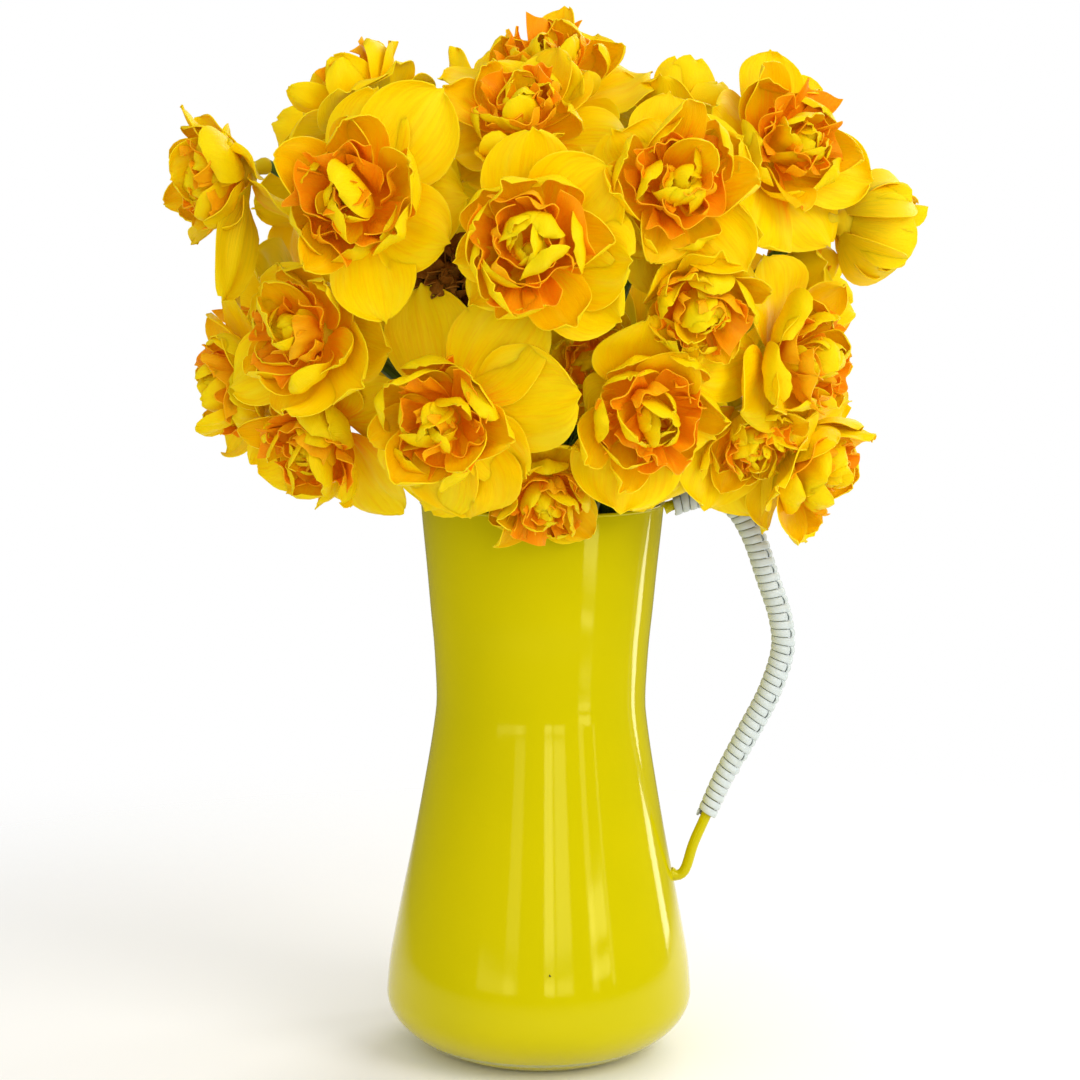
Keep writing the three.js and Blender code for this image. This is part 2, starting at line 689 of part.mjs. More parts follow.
const flowers = BLOOMS.map((bloom, index) => {
  const { matrix } = placeOf(bloom);
  const cup = boxed(yellowBody([], []).transform(matrix));
  const collar = boxed(orangeBody([]).transform(matrix));
  return { bloom, index, matrix, cup, collar, outer: [], heart: [], frills: [] };
});

// Everything that a flower's new petal must stay clear of, which leaves out the piece that it grows from.
function obstacles(flower, grownFrom) {
  const pieces = flowers.flatMap((one) => [
    one.cup,
    one.collar,
    ...[...one.outer, ...one.heart, ...one.frills].map((petal) => petal.blade),
  ]);
  return [...standing, ...pieces].filter((piece) => piece !== flower[grownFrom]);
}

function grow(flower, kind, petals) {
  const grownFrom = kind === "frills" ? "collar" : "cup";
  for (const petal of petals) {
    const found = fitted(petal, flower.matrix, obstacles(flower, grownFrom));
    if (found) flower[kind].push(found);
  }
}

// First every bloom gets its heart, frills and middle petals, and then the tepals find their room.
for (const flower of flowers) {
  grow(flower, "heart", heartPetals(flower.bloom, flower.index));
  if (!flower.bloom.plain) grow(flower, "frills", frills(flower.bloom, flower.index));
  grow(flower, "outer", middlePetals(flower.bloom, flower.index));
}
for (const flower of flowers) {
  grow(flower, "outer", tepals(flower.bloom, flower.index, flower.matrix));
}

const object = new THREE.Group();
object.add(named("jug_body", jug, ENAMEL));
object.add(named("handle_bar", steel, ENAMEL));
object.add(named("handle_cane", cane, CANE));
object.add(named("water", water(), WATER));
object.add(named("stems", wasm.Manifold.union([...stems, ...feet, bundleCore()]), GREEN));
for (const { bloom, matrix, outer, heart, frills: orange } of flowers) {
  const yellow = yellowBody(outer, heart).transform(matrix);
  if (bloom.plain) {
    object.add(named(bloom.name, yellow, bloom.material ?? YELLOW));
    continue;
  }
  object.add(named(bloom.name + "_petals", yellow, YELLOW));
  object.add(named(bloom.name + "_frills", orangeBody(orange).transform(matrix), ORANGE));
}

export default object;
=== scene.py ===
"""Looks of a full bunch of double daffodils in a waisted enamelled jug with a cane-wrapped handle.

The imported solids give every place. The flowers, stems, water, jug and handle are modelled finely round
them. Sizes are given in millimetres and meshes are in metres. +Z is up, the handle points along +X and the
front of the bunch faces -Y.
"""
import logging
import math
import random
from collections.abc import Callable, Iterator
from contextlib import contextmanager
from dataclasses import dataclass, field, replace
from enum import Enum
from typing import Union

import bpy
import numpy as np
from mathutils import Matrix, Vector
from mathutils.kdtree import KDTree


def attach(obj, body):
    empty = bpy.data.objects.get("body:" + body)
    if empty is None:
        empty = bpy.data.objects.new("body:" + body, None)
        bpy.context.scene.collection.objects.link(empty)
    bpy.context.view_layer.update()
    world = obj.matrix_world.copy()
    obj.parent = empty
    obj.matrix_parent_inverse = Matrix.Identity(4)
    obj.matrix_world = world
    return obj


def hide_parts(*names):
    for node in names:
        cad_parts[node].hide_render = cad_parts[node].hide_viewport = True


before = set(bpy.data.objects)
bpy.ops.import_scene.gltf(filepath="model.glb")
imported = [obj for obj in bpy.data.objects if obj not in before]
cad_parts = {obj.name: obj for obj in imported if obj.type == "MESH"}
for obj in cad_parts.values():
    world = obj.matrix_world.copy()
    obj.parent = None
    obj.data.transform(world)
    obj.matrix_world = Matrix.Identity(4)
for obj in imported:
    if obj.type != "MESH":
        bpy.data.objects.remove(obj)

LOG = logging.getLogger("daffodils")
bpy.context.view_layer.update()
MM = 0.001
SEAM = 2e-6  # corners nearer than this are one, in metres
FULL_TURN = 2 * math.pi

Array = np.ndarray
Pair = tuple[float, float]
Point = tuple[float, float, float]
Colour = tuple[float, float, float, float]
Formula = Callable[[Array, Array], Array]


def paint(red: int, green: int, blue: int) -> Colour:
    """Turns a colour as a screen shows it into the light that it stands for.

    Args:
        red: the red channel, 0 to 255.
        green: the green channel, 0 to 255.
        blue: the blue channel, 0 to 255.

    Returns:
        The colour in linear light, with its alpha.
    """
    def light(level: int) -> float:
        """One channel without the screen's curve."""
        share = level / 255
        return share / 12.92 if share <= 0.04045 else ((share + 0.055) / 1.055) ** 2.4
    return (light(red), light(green), light(blue), 1.0)


def smooth(values: Array, low: float, high: float) -> Array:
    """Rises softly from 0 at low to 1 at high."""
    share = np.clip((values - low) / (high - low), 0, 1)
    return share * share * (3 - 2 * share)


def chance(a: int, b: int, c: int) -> float:
    """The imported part's own number from 0 to 1 for three whole numbers."""
    x = math.sin(a * 12.9898 + b * 78.233 + c * 37.719) * 43758.5453
    return x - math.floor(x)


# Shader nodes


class Signal:
    """The value that a node's output carries. Sums on it add Math nodes."""

    def __init__(self, shader: "Shader", socket: bpy.types.NodeSocket) -> None:
        """Wraps one output socket of a shader's node."""
        self.shader = shader
        self.socket = socket

    def _sum(self, operation: str, *terms: "Term") -> "Signal":
        """Adds one Math node."""
        return self.shader.node("ShaderNodeMath", {"operation": operation}, dict(enumerate(terms)))

    def __add__(self, other: "Term") -> "Signal":
        """self + other"""
        return self._sum("ADD", self, other)

    def __sub__(self, other: "Term") -> "Signal":
        """self - other"""
        return self._sum("SUBTRACT", self, other)

    def __rsub__(self, other: "Term") -> "Signal":
        """other - self"""
        return self._sum("SUBTRACT", other, self)

    def __mul__(self, other: "Term") -> "Signal":
        """self * other"""
        return self._sum("MULTIPLY", self, other)

    def __abs__(self) -> "Signal":
        """abs(self)"""
        return self._sum("ABSOLUTE", self)

    __radd__ = __add__
    __rmul__ = __mul__

    def either(self, other: "Term") -> "Signal":
        """The larger of the two."""
        return self._sum("MAXIMUM", self, other)

    def rise(self, low: float, high: float) -> "Signal":
        """Rises softly from 0 to 1, or falls where low is above high.

        Args:
            low: the value at which it is 0.
            high: the value at which it is 1.

        Returns:
            The share between the two.
        """
        if low > high:
            return 1 - self.rise(high, low)
        settings = {"interpolation_type": "SMOOTHSTEP", "clamp": True}
        return self.shader.node("ShaderNodeMapRange", settings, {0: self, 1: low, 2: high, 3: 0.0, 4: 1.0})


Term = Union[Signal, float, int]


class Shader:
    """A material under construction, with one surface shader at its end."""

    def __init__(self, name: str) -> None:
        """Starts an empty material with this name."""
        self.material = bpy.data.materials.new(name)
        self.material.use_nodes = True
        self.material.cycles.emission_sampling = "NONE"
        self.tree = self.material.node_tree
        self.tree.nodes.clear()

    def node(self, kind: str, settings: dict | None = None, sockets: dict | None = None,
             out: int | str = 0) -> Signal:
        """Adds a node.

        Args:
            kind: the node's type.
            settings: its own settings, which are set before its sockets.
            sockets: the value or link of each input, by number or name.
            out: the output that is wanted.

        Returns:
            The wanted output.
        """
        node = self.tree.nodes.new(kind)
        for key, value in (settings or {}).items():
            setattr(node, key, value)
        for key, value in (sockets or {}).items():
            if isinstance(value, Signal):
                self.tree.links.new(value.socket, node.inputs[key])
            else:
                node.inputs[key].default_value = value
        return Signal(self, node.outputs[out])

    def mixed(self, share: Term, start: "Signal | Colour", end: "Signal | Colour") -> Signal:
        """A colour between two others."""
        return self.node("ShaderNodeMix", {"data_type": "RGBA"}, {0: share, 6: start, 7: end}, 2)

    def noise(self, place: Signal, scale: float, detail: float = 2.0, rough: float = 0.5) -> Signal:
        """Soft random values round 0.5 at each place."""
        sockets = {"Vector": place, "Scale": scale, "Detail": detail, "Roughness": rough}
        return self.node("ShaderNodeTexNoise", {}, sockets)

    def joined(self, x: Term, y: Term, z: Term) -> Signal:
        """A vector of three values."""
        return self.node("ShaderNodeCombineXYZ", {}, {0: x, 1: y, 2: z})

    def axis(self, place: Signal, out: str) -> Signal:
        """One coordinate of a vector."""
        return self.node("ShaderNodeSeparateXYZ", {}, {0: place}, out)

    def away(self, place: Signal, point: Point) -> Signal:
        """The distance from a point."""
        return self.node("ShaderNodeVectorMath", {"operation": "DISTANCE"}, {0: place, 1: point}, "Value")

    def own_place(self) -> Signal:
        """The place on the object, in metres."""
        return self.node("ShaderNodeTexCoord", out="Object")

    def strip_place(self) -> Signal:
        """The place along and across a strip, from its UV map."""
        return self.node("ShaderNodeUVMap", {"uv_map": "UVMap"})

    def attribute(self, name: str) -> Signal:
        """A value that the mesh carries."""
        return self.node("ShaderNodeAttribute", {"attribute_name": name}, out="Fac")

    def bump(self, height: Signal, distance: float) -> Signal:
        """A surface normal raised by a height, whose full step is distance in metres."""
        return self.node("ShaderNodeBump", {}, {"Height": height, "Distance": distance, "Strength": 1.0})

    def surface(self, **sockets: "Term | Colour | Point") -> bpy.types.Material:
        """Ends the material with a surface shader.

        Args:
            sockets: the value or link of each input, named with _ for a space.

        Returns:
            The finished material.
        """
        named = {name.replace("_", " "): value for name, value in sockets.items()}
        shader = self.node("ShaderNodeBsdfPrincipled", {}, named)
        self.node_out(shader)
        return self.material

    def node_out(self, shader: Signal) -> None:
        """Links a shader to the material's output."""
        output = self.tree.nodes.new("ShaderNodeOutputMaterial")
        self.tree.links.new(shader.socket, output.inputs["Surface"])


# Finishes


BLACK: Colour = paint(0, 0, 0)


@dataclass(frozen=True)
class PetalFinish:
    """A satin petal with fine veins, a flushed root, a thin painted highlight along its rim, a duller back, and
    a painted glow at its root that lifts the shade between petals.
    """
    name: str
    face: Colour
    deep: Colour
    pale: Colour
    flush: Colour
    back: Colour
    low_back: Colour
    gold: Colour  # half of the colour of all petals within the outer ones
    roughness: float = 0.46
    veins: float = 0.00016
    glow: float = 0.4
    # strength of the thin painted highlight along its rim
    rim: float = 0.5
    through: Colour = BLACK  # painted glow: emission at its root that lifts the shade there, standing in for the light that reaches it through the petals round it

    def make(self) -> bpy.types.Material:
        """Builds the material.

        The mesh carries each petal's tint, how far up its root is flushed, whether it is an outer one
        (green) and which of its sides is the back.

        Returns:
            The material.
        """
        shader = Shader(self.name)
        place = shader.strip_place()
        across, along = shader.axis(place, "X"), shader.axis(place, "Y")
        tint, back = shader.attribute("tint"), shader.attribute("back")
        reach = shader.attribute("flush")
        # the petal's rim, where a thin painted highlight goes
        rim = abs(across - 0.5).rise(0.476, 0.5).either(along.rise(0.972, 1.0))
        fan = (across - 0.5) * (along * -0.45 + 1.25)
        streaks = shader.noise(shader.joined(fan * 34.0, along * 2.6, tint * 90.0), 1.0, 3.0, 0.6)
        broad = shader.noise(shader.joined(fan * 6.0, along * 1.6, tint * 70.0), 1.0, 1.0)
        colour = shader.mixed(streaks.rise(0.42, 0.72) * 0.62, self.face, self.deep)
        colour = shader.mixed(broad.rise(0.5, 0.85) * 0.5, colour, self.pale)
        colour = shader.mixed(tint.rise(0.55, 1.0) * 0.4, colour, self.deep)
        outer = shader.attribute("green")
        inner = 1 - outer
        colour = shader.mixed(inner * 0.5, colour, self.gold)
        flushed = (reach - along + (streaks - 0.5) * 0.5 + (broad - 0.5) * 0.5).rise(-0.16, 0.3)
        colour = shader.mixed(flushed * 0.9, colour, self.flush)
        green = (0.55 - along + (streaks - 0.5) * 0.6).rise(-0.1, 0.5) * outer
        behind = shader.mixed(green, self.back, self.low_back)
        colour = shader.mixed(back, colour, behind)
        # painted highlight: the pale colour laid along the rim
        colour = shader.mixed(rim * self.rim, colour, self.pale)
        crease = shader.noise(shader.joined(fan * 62.0, along * 3.4, tint * 40.0), 1.0, 2.0, 0.65)
        normal = shader.bump(crease + streaks * 0.8, self.veins)
        # painted glow: an emitted colour, strongest at the roots and weaker on the outer tepals, that lifts the
        # shade inside the rosette
        painted_glow_share = (reach - along).rise(-0.7, 0.3) * (1 - outer * 0.6)
        return shader.surface(
            Base_Color=colour, Roughness=self.roughness + (streaks - 0.5) * 0.16, Normal=normal,
            Specular_IOR_Level=0.22, Specular_Tint=(1.0, 0.88, 0.3, 1.0), Subsurface_Weight=self.glow,
            Subsurface_Radius=(1.0, 0.62, 0.12), Subsurface_Scale=0.002,
            Emission_Color=shader.mixed(painted_glow_share, BLACK, self.through), Emission_Strength=1.0)


@dataclass(frozen=True)
class EnamelFinish:
    """Glossy enamel with a faint orange-peel skin, pale inside, and chipped to dark steel in a few places."""
    name: str
    face: Colour = paint(200, 186, 0)
    cool: Colour = paint(184, 175, 0)
    inside: Colour = paint(226, 226, 214)
    steel: Colour = paint(42, 36, 30)
    gloss: float = 0.07  # its roughness
    chips: tuple[tuple[Point, float], ...] = ()  # the middle and radius of each, in metres

    def make(self) -> bpy.types.Material:
        """Builds the material.

        Returns:
            The material.
        """
        shader = Shader(self.name)
        place = shader.own_place()
        clouds = shader.noise(place, 14.0, 3.0)
        fine = shader.noise(place, 620.0, 3.0, 0.6)
        grain = shader.noise(place, 2400.0, 1.0)
        colour = shader.mixed((clouds - 0.5) * 1.2 + 0.35, self.face, self.cool)
        colour = shader.mixed(grain.rise(0.56, 0.72) * 0.1, colour, self.cool)
        colour = shader.mixed(shader.attribute("inner"), colour, self.inside)
        ragged = (shader.noise(place, 1500.0, 2.0) - 0.5) * 0.0013
        chipped: Signal | float = 0.0
        for point, radius in self.chips:
            here = (shader.away(place, point) + ragged).rise(radius * 1.25, radius * 0.8)
            chipped = here if isinstance(chipped, float) else chipped.either(here)
        height = fine * 0.5 + clouds * 1.5
        if isinstance(chipped, Signal):
            colour = shader.mixed(chipped, colour, self.steel)
            height = height - chipped * 4.0
            roughness = self.gloss + chipped * 0.5
        else:
            roughness = self.gloss + (fine - 0.5) * 0.04
        return shader.surface(
            Base_Color=colour, Roughness=roughness, Normal=shader.bump(height, 0.00003),
            Specular_IOR_Level=0.42, Specular_Tint=(1.0, 0.95, 0.3, 1.0))


@dataclass(frozen=True)
class CaneFinish:
    """White lacquered cane with fibres along the strip, and painted shade in the gaps between its turns."""
    name: str
    face: Colour = paint(202, 211, 210)
    worn: Colour = paint(178, 186, 168)
    painted_gap_shade: Colour = paint(104, 106, 78)

    def make(self) -> bpy.types.Material:
        """Builds the material. The mesh carries how deep each place lies between the turns (edge), which sets
        the painted shade there.

        Returns:
            The material.
        """
        shader = Shader(self.name)
        place = shader.strip_place()
        across, along = shader.axis(place, "X"), shader.axis(place, "Y")
        fibres = shader.noise(shader.joined(across * 26.0, along * 60.0, 0.0), 1.0, 3.0, 0.6)
        patches = shader.noise(shader.own_place(), 160.0, 2.0)
        edge = shader.attribute("edge")
        wear = fibres.rise(0.5, 0.8) * 0.35 + patches.rise(0.5, 0.75) * 0.25
        colour = shader.mixed(wear, self.face, self.worn)
        # painted shade: darker where the strip lies deep between the turns
        colour = shader.mixed(edge.rise(0.45, 1.0) * 0.8, colour, self.painted_gap_shade)
        return shader.surface(
            Base_Color=colour, Roughness=0.42 + (fibres - 0.5) * 0.2, Normal=shader.bump(fibres, 0.00012),
            Specular_IOR_Level=0.4, Coat_Weight=0.15, Coat_Roughness=0.2)


@dataclass(frozen=True)
class StemFinish:
    """Waxy green stem with fine lengthwise lines, paler down in the water."""
    name: str
    face: Colour = paint(74, 112, 30)
    dark: Colour = paint(40, 74, 18)
    low: Colour = paint(150, 172, 92)

    def make(self) -> bpy.types.Material:
        """Builds the material.

        Returns:
            The material.
        """
        shader = Shader(self.name)
        place = shader.strip_place()
        across, along = shader.axis(place, "X"), shader.axis(place, "Y")
        tint = shader.attribute("tint")
        lines = shader.noise(shader.joined(across * 46.0, along * 4.0, tint * 60.0), 1.0, 3.0)
        clouds = shader.noise(shader.own_place(), 60.0, 2.0)
        height = shader.axis(shader.own_place(), "Z")
        colour = shader.mixed(lines.rise(0.4, 0.7), self.face, self.dark)
        colour = shader.mixed(height.rise(0.09, 0.0) * 0.8, colour, self.low)
        colour = shader.mixed(clouds.rise(0.5, 0.8) * 0.4, colour, self.low)
        return shader.surface(
            Base_Color=colour, Roughness=0.44 + (clouds - 0.5) * 0.2, Normal=shader.bump(lines, 0.0002),
            Specular_IOR_Level=0.4, Subsurface_Weight=0.1, Subsurface_Radius=(0.4, 1.0, 0.2),
            Subsurface_Scale=0.001)


@dataclass(frozen=True)
class WaterFinish:
    """Clear water, a little clouded by the stems that stand in it."""
    name: str
    tint: Colour = paint(214, 226, 206)
    cloud: Colour = paint(196, 206, 160)

    def make(self) -> bpy.types.Material:
        """Builds the material.

        Returns:
            The material.
        """
        shader = Shader(self.name)
        clouds = shader.noise(shader.own_place(), 40.0, 3.0)
        ripples = shader.noise(shader.own_place(), 110.0, 2.0)
        colour = shader.mixed(clouds.rise(0.4, 0.75), self.tint, self.cloud)
        return shader.surface(
            Base_Color=colour, Roughness=0.03, IOR=1.33, Normal=shader.bump(ripples, 0.0004),
            Alpha=0.28 + clouds * 0.16)


# Bench: the ways in which every mesh is made


def only(*pieces: bpy.types.Object) -> None:
    """Selects these objects alone and makes the first one active.

    Args:
        pieces: the objects.
    """
    bpy.ops.object.select_all(action="DESELECT")
    for piece in pieces:
        piece.select_set(True)
    bpy.context.view_layer.objects.active = pieces[0]


@contextmanager
def editing(piece: bpy.types.Object) -> Iterator[None]:
    """Opens a piece in edit mode with everything on it selected.

    Args:
        piece: the object.
    """
    only(piece)
    bpy.ops.object.mode_set(mode="EDIT")
    bpy.ops.mesh.select_all(action="SELECT")
    yield
    bpy.ops.object.mode_set(mode="OBJECT")


def rename(piece: bpy.types.Object, name: str) -> bpy.types.Object:
    """Names an object and its mesh alike."""
    piece.name = piece.data.name = name
    return piece


def grid(across: int, along: int) -> bpy.types.Object:
    """A flat sheet of square faces with its UV map, as the start of a bent one.

    Args:
        across: the faces across it.
        along: the faces along it.

    Returns:
        The sheet, one metre wide and long.
    """
    bpy.ops.object.select_all(action="DESELECT")
    bpy.ops.mesh.primitive_grid_add(x_subdivisions=across, y_subdivisions=along, size=1)
    return bpy.context.object


def corners_of(piece: bpy.types.Object) -> Array:
    """Reads all of a mesh's vertices.

    Args:
        piece: the object.

    Returns:
        Their places, one row each.
    """
    flat = np.empty(len(piece.data.vertices) * 3)
    piece.data.vertices.foreach_get("co", flat)
    return flat.reshape(-1, 3)


def move_to(piece: bpy.types.Object, points: Array) -> None:
    """Puts a mesh's vertices at these points."""
    piece.data.vertices.foreach_set("co", np.ascontiguousarray(points, float).ravel())
    piece.data.update()


def bend(piece: bpy.types.Object, formula: Formula) -> bpy.types.Object:
    """Bends a flat grid.

    Args:
        piece: the grid.
        formula: gives each point from its shares across and along.

    Returns:
        The same object.
    """
    flat = corners_of(piece)
    move_to(piece, formula(flat[:, 0] + 0.5, flat[:, 1] + 0.5))
    return piece


def copy_of(piece: bpy.types.Object) -> bpy.types.Object:
    """Copies an object with a mesh of its own.

    Args:
        piece: the object.

    Returns:
        The copy.
    """
    twin = bpy.data.objects.new(piece.name, piece.data.copy())
    bpy.context.collection.objects.link(twin)
    return twin


def carry(piece: bpy.types.Object, name: str, values: "Array | float") -> None:
    """Stores a value at each vertex for the materials to read.

    Args:
        piece: the object.
        name: the attribute's name.
        values: a value for each vertex, or one for all.
    """
    layer = piece.data.attributes.get(name) or piece.data.attributes.new(name, "FLOAT", "POINT")
    count = len(piece.data.vertices)
    layer.data.foreach_set("value", np.broadcast_to(np.asarray(values, np.float32), (count,)).copy())


def close_up(piece: bpy.types.Object, caps: bool = True) -> bpy.types.Object:
    """Merges a mesh's seam, caps its open ends and turns its faces outwards.

    Args:
        piece: the object.
        caps: whether it has open ends.

    Returns:
        The same object.
    """
    with editing(piece):
        bpy.ops.mesh.remove_doubles(threshold=SEAM)
        if caps:
            bpy.ops.mesh.select_all(action="SELECT")
            bpy.ops.mesh.fill_holes(sides=0)
        bpy.ops.mesh.select_all(action="SELECT")
        bpy.ops.mesh.normals_make_consistent(inside=False)
    return piece


def join(name: str, pieces: list[bpy.types.Object]) -> bpy.types.Object:
    """Makes several objects one.

    Args:
        name: the new object's name.
        pieces: the objects, of which the first takes up the rest.

    Returns:
        The joined object.
    """
    only(*pieces)
    bpy.ops.object.join()
    return rename(pieces[0], name)


def soften(piece: bpy.types.Object, degrees: float = 50.0) -> None:
    """Shades a piece smooth, apart from edges sharper than an angle."""
    only(piece)
    bpy.ops.object.shade_smooth_by_angle(angle=math.radians(degrees))


def turned(name: str, outline: list[Pair], steps: int) -> bpy.types.Object:
    """Spins an outline about the jug's axis.

    Args:
        name: the new object's name.
        outline: radius and height of each point, in millimetres, from the axis and back to it.
        steps: the number of its sides.

    Returns:
        The closed object.
    """
    bpy.ops.object.select_all(action="DESELECT")
    bpy.ops.mesh.primitive_plane_add(size=0.01)
    piece = rename(bpy.context.object, name)
    with editing(piece):
        bpy.ops.mesh.merge(type="CENTER")
        radius, height = outline[0]
        bpy.ops.transform.translate(value=(radius * MM, 0, height * MM))
        for (r0, z0), (r1, z1) in zip(outline, outline[1:]):
            step = ((r1 - r0) * MM, 0, (z1 - z0) * MM)
            bpy.ops.mesh.extrude_region_move(TRANSFORM_OT_translate={"value": step})
        bpy.ops.mesh.select_all(action="SELECT")
        bpy.ops.mesh.spin(steps=steps, angle=FULL_TURN, center=(0, 0, 0), axis=(0, 0, 1))
    return close_up(piece, caps=False)


def hand_over(piece: bpy.types.Object, material: bpy.types.Material, slot: str, *nodes: str) -> None:
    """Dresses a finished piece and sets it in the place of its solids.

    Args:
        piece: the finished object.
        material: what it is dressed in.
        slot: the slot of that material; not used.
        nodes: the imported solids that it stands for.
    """
    piece.data.materials.clear()
    piece.data.materials.append(material)
    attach(piece, "root")
    if nodes:
        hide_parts(*nodes)
    LOG.info("%s: %d faces", piece.name, len(piece.data.polygons))


class Route:
    """A smooth line through points, with a frame across it at each place. In metres."""

    def __init__(self, points: Array, normal: Point, samples: int) -> None:
        """Draws the line and carries the first normal along it without twisting it.

        Args:
            points: what the line passes through, one row each.
            normal: a direction across its start.
            samples: the number of even steps that it is kept in.
        """
        line = self._drawn(np.asarray(points, float))
        gone = np.concatenate([[0], np.cumsum(np.linalg.norm(np.diff(line, axis=0), axis=1))])
        self.length = float(gone[-1])
        even = np.linspace(0, self.length, samples + 1)
        self.shares = even / self.length
        self.line = np.stack([np.interp(even, gone, line[:, k]) for k in range(3)], 1)
        tangents = np.gradient(self.line, axis=0)
        tangents /= np.linalg.norm(tangents, axis=1)[:, None]
        across = np.array(normal, float)
        normals = []
        for tangent in tangents:
            across = across - tangent * (across @ tangent)
            across = across / np.linalg.norm(across)
            normals.append(across)
        self.normals = np.array(normals)
        self.asides = np.cross(tangents, self.normals)

    @staticmethod
    def _drawn(points: Array) -> Array:
        """Draws a centripetal curve.

        Args:
            points: what it passes through.

        Returns:
            The curve in fine steps.
        """
        ends = np.vstack([2 * points[0] - points[1], points, 2 * points[-1] - points[-2]])
        gaps = np.maximum(np.linalg.norm(np.diff(ends, axis=0), axis=1) ** 0.5, 1e-6)
        rows = []
        fine_steps = 40
        share = np.linspace(0, 1, fine_steps, endpoint=False)[:, None]
        for i in range(1, len(ends) - 2):
            p0, p1, p2, p3 = ends[i - 1:i + 3]
            d0, d1, d2 = gaps[i - 1:i + 2]
            leaving = ((p1 - p0) / d0 - (p2 - p0) / (d0 + d1) + (p2 - p1) / d1) * d1
            arriving = ((p2 - p1) / d1 - (p3 - p1) / (d1 + d2) + (p3 - p2) / d2) * d1
            square, cube = share ** 2, share ** 3
            rows.append(p1 + leaving * share + (3 * (p2 - p1) - 2 * leaving - arriving) * square
                        + (2 * (p1 - p2) + leaving + arriving) * cube)
        return np.vstack([*rows, points[-1:]])

    def _at(self, rows: Array, share: Array) -> Array:
        """Rows of the line's own data at shares of its length."""
        return np.stack([np.interp(share, self.shares, rows[:, k]) for k in range(3)], 1)

    def around(self, share: Array, angle: Array, radius: Array) -> Array:
        """Points round the line.

        Args:
            share: where along the line each one is, as a share of its length.
            angle: its angle round the line, from the normal.
            radius: its distance from the line, in metres.

        Returns:
            The points, one row each.
        """
        normal, aside = self._at(self.normals, share), self._at(self.asides, share)
        spoke = normal * np.cos(angle)[:, None] + aside * np.sin(angle)[:, None]
        return self._at(self.line, share) + spoke * np.reshape(radius, (-1, 1))


# Jug


@dataclass
class Jug:
    """The jug's shell of enamelled sheet steel, with a rolled rim and a shallow recess under its foot."""
    side: tuple[Pair, ...] = (
        (66.4, 28), (65.2, 40), (62.8, 53.5), (60.2, 67), (57.45, 80.4), (54.7, 94), (51.05, 113.7),
        (47.6, 134), (45.75, 147), (45.25, 152), (45.2, 157), (45.65, 167), (46.5, 180), (47.8, 193),
        (49.5, 212), (51.4, 231), (52.1, 239))  # radius and height
    wall_steps: int = 46
    corner: tuple[Pair, ...] = ((40, 0), (44, 1.2), (69.3, 10.6), (66.4, 28))  # the curve from foot to side
    corner_steps: int = 14
    corner_side: tuple[Pair, ...] = ((30, 0), (50, 1.6), (61, 9), (65, 18))  # the same, roughly
    wall: float = 1.3
    rim_bead: float = 0.75
    rim_raise: float = 0.7
    foot_ring: Pair = (36.5, 1.1)  # radius and depth of the recess under the foot
    turns: int = 144
    chips: tuple[Point, ...] = (  # degrees from the front, height and radius
        (4, 49, 0.42), (-51, 5.5, 0.42), (-66, 7.5, 0.36), (-118, 60, 0.5), (150, 24, 0.6), (96, 11, 0.4))

    def outline(self) -> list[Pair]:
        """The shell's closed outline.

        Returns:
            Radii and heights from under the foot, up outside, over the rim and down inside.
        """
        a, b, c, d = (np.array(p, float) for p in self.corner)
        steps = [k / self.corner_steps for k in range(self.corner_steps)]
        bend_up = [(1 - t) ** 3 * a + 3 * (1 - t) ** 2 * t * b + 3 * (1 - t) * t * t * c + t ** 3 * d
                   for t in steps]
        knots = np.array([(radius, 0, height) for radius, height in self.side])
        wall_up = Route(knots, (0, 1, 0), self.wall_steps).line[:, [0, 2]]
        outside = [*bend_up, *wall_up]
        inside = [(max(radius - self.wall, 0), max(height, self.wall))
                  for radius, height in reversed(outside)]
        top_radius, top = wall_up[-1]
        bead = [(top_radius - 0.1 + self.rim_bead * math.cos(turn),
                 top + self.rim_bead * math.sin(turn) + self.rim_raise)
                for turn in np.radians(range(-35, 216, 25))]
        ring, depth = self.foot_ring
        under = [(0, depth), (ring - 2.4, depth), (ring - 0.6, depth * 0.55), (ring, 0.05)]
        return [*under, *map(tuple, outside), *bead, *inside, (0, self.wall)]

    def build(self, enamel: bpy.types.Material) -> None:
        """Spins the shell, marks its inner side and dresses it.

        Args:
            enamel: its material.
        """
        outline = self.outline()
        plain = [(float(radius), float(height)) for radius, height in outline]
        piece = turned("jug_shell", plain, self.turns)
        tree = KDTree(len(outline))
        for number, (radius, height) in enumerate(outline):
            tree.insert((radius, 0, height), number)
        tree.balance()
        top = max(range(len(outline)), key=lambda number: outline[number][1])
        points = corners_of(piece) / MM
        spots = zip(np.hypot(points[:, 0], points[:, 1]), points[:, 2])
        numbers = np.array([tree.find((radius, 0, height))[1] for radius, height in spots])
        carry(piece, "inner", (numbers > top).astype(float))
        soften(piece, 40)
        hand_over(piece, enamel, "enamel", "jug_body")

    def chip_points(self) -> tuple[tuple[Point, float], ...]:
        """Where the enamel is chipped.

        Returns:
            Each chip's middle on the shell and its radius, in metres.
        """
        rows = []
        table = [*self.corner_side, *self.side]
        for degrees, height, size in self.chips:
            radius = float(np.interp(height, [z for _, z in table], [r for r, _ in table])) * MM
            angle = math.radians(degrees - 90)
            rows.append(((radius * math.cos(angle), radius * math.sin(angle), height * MM), size * MM))
        return tuple(rows)


# Handle


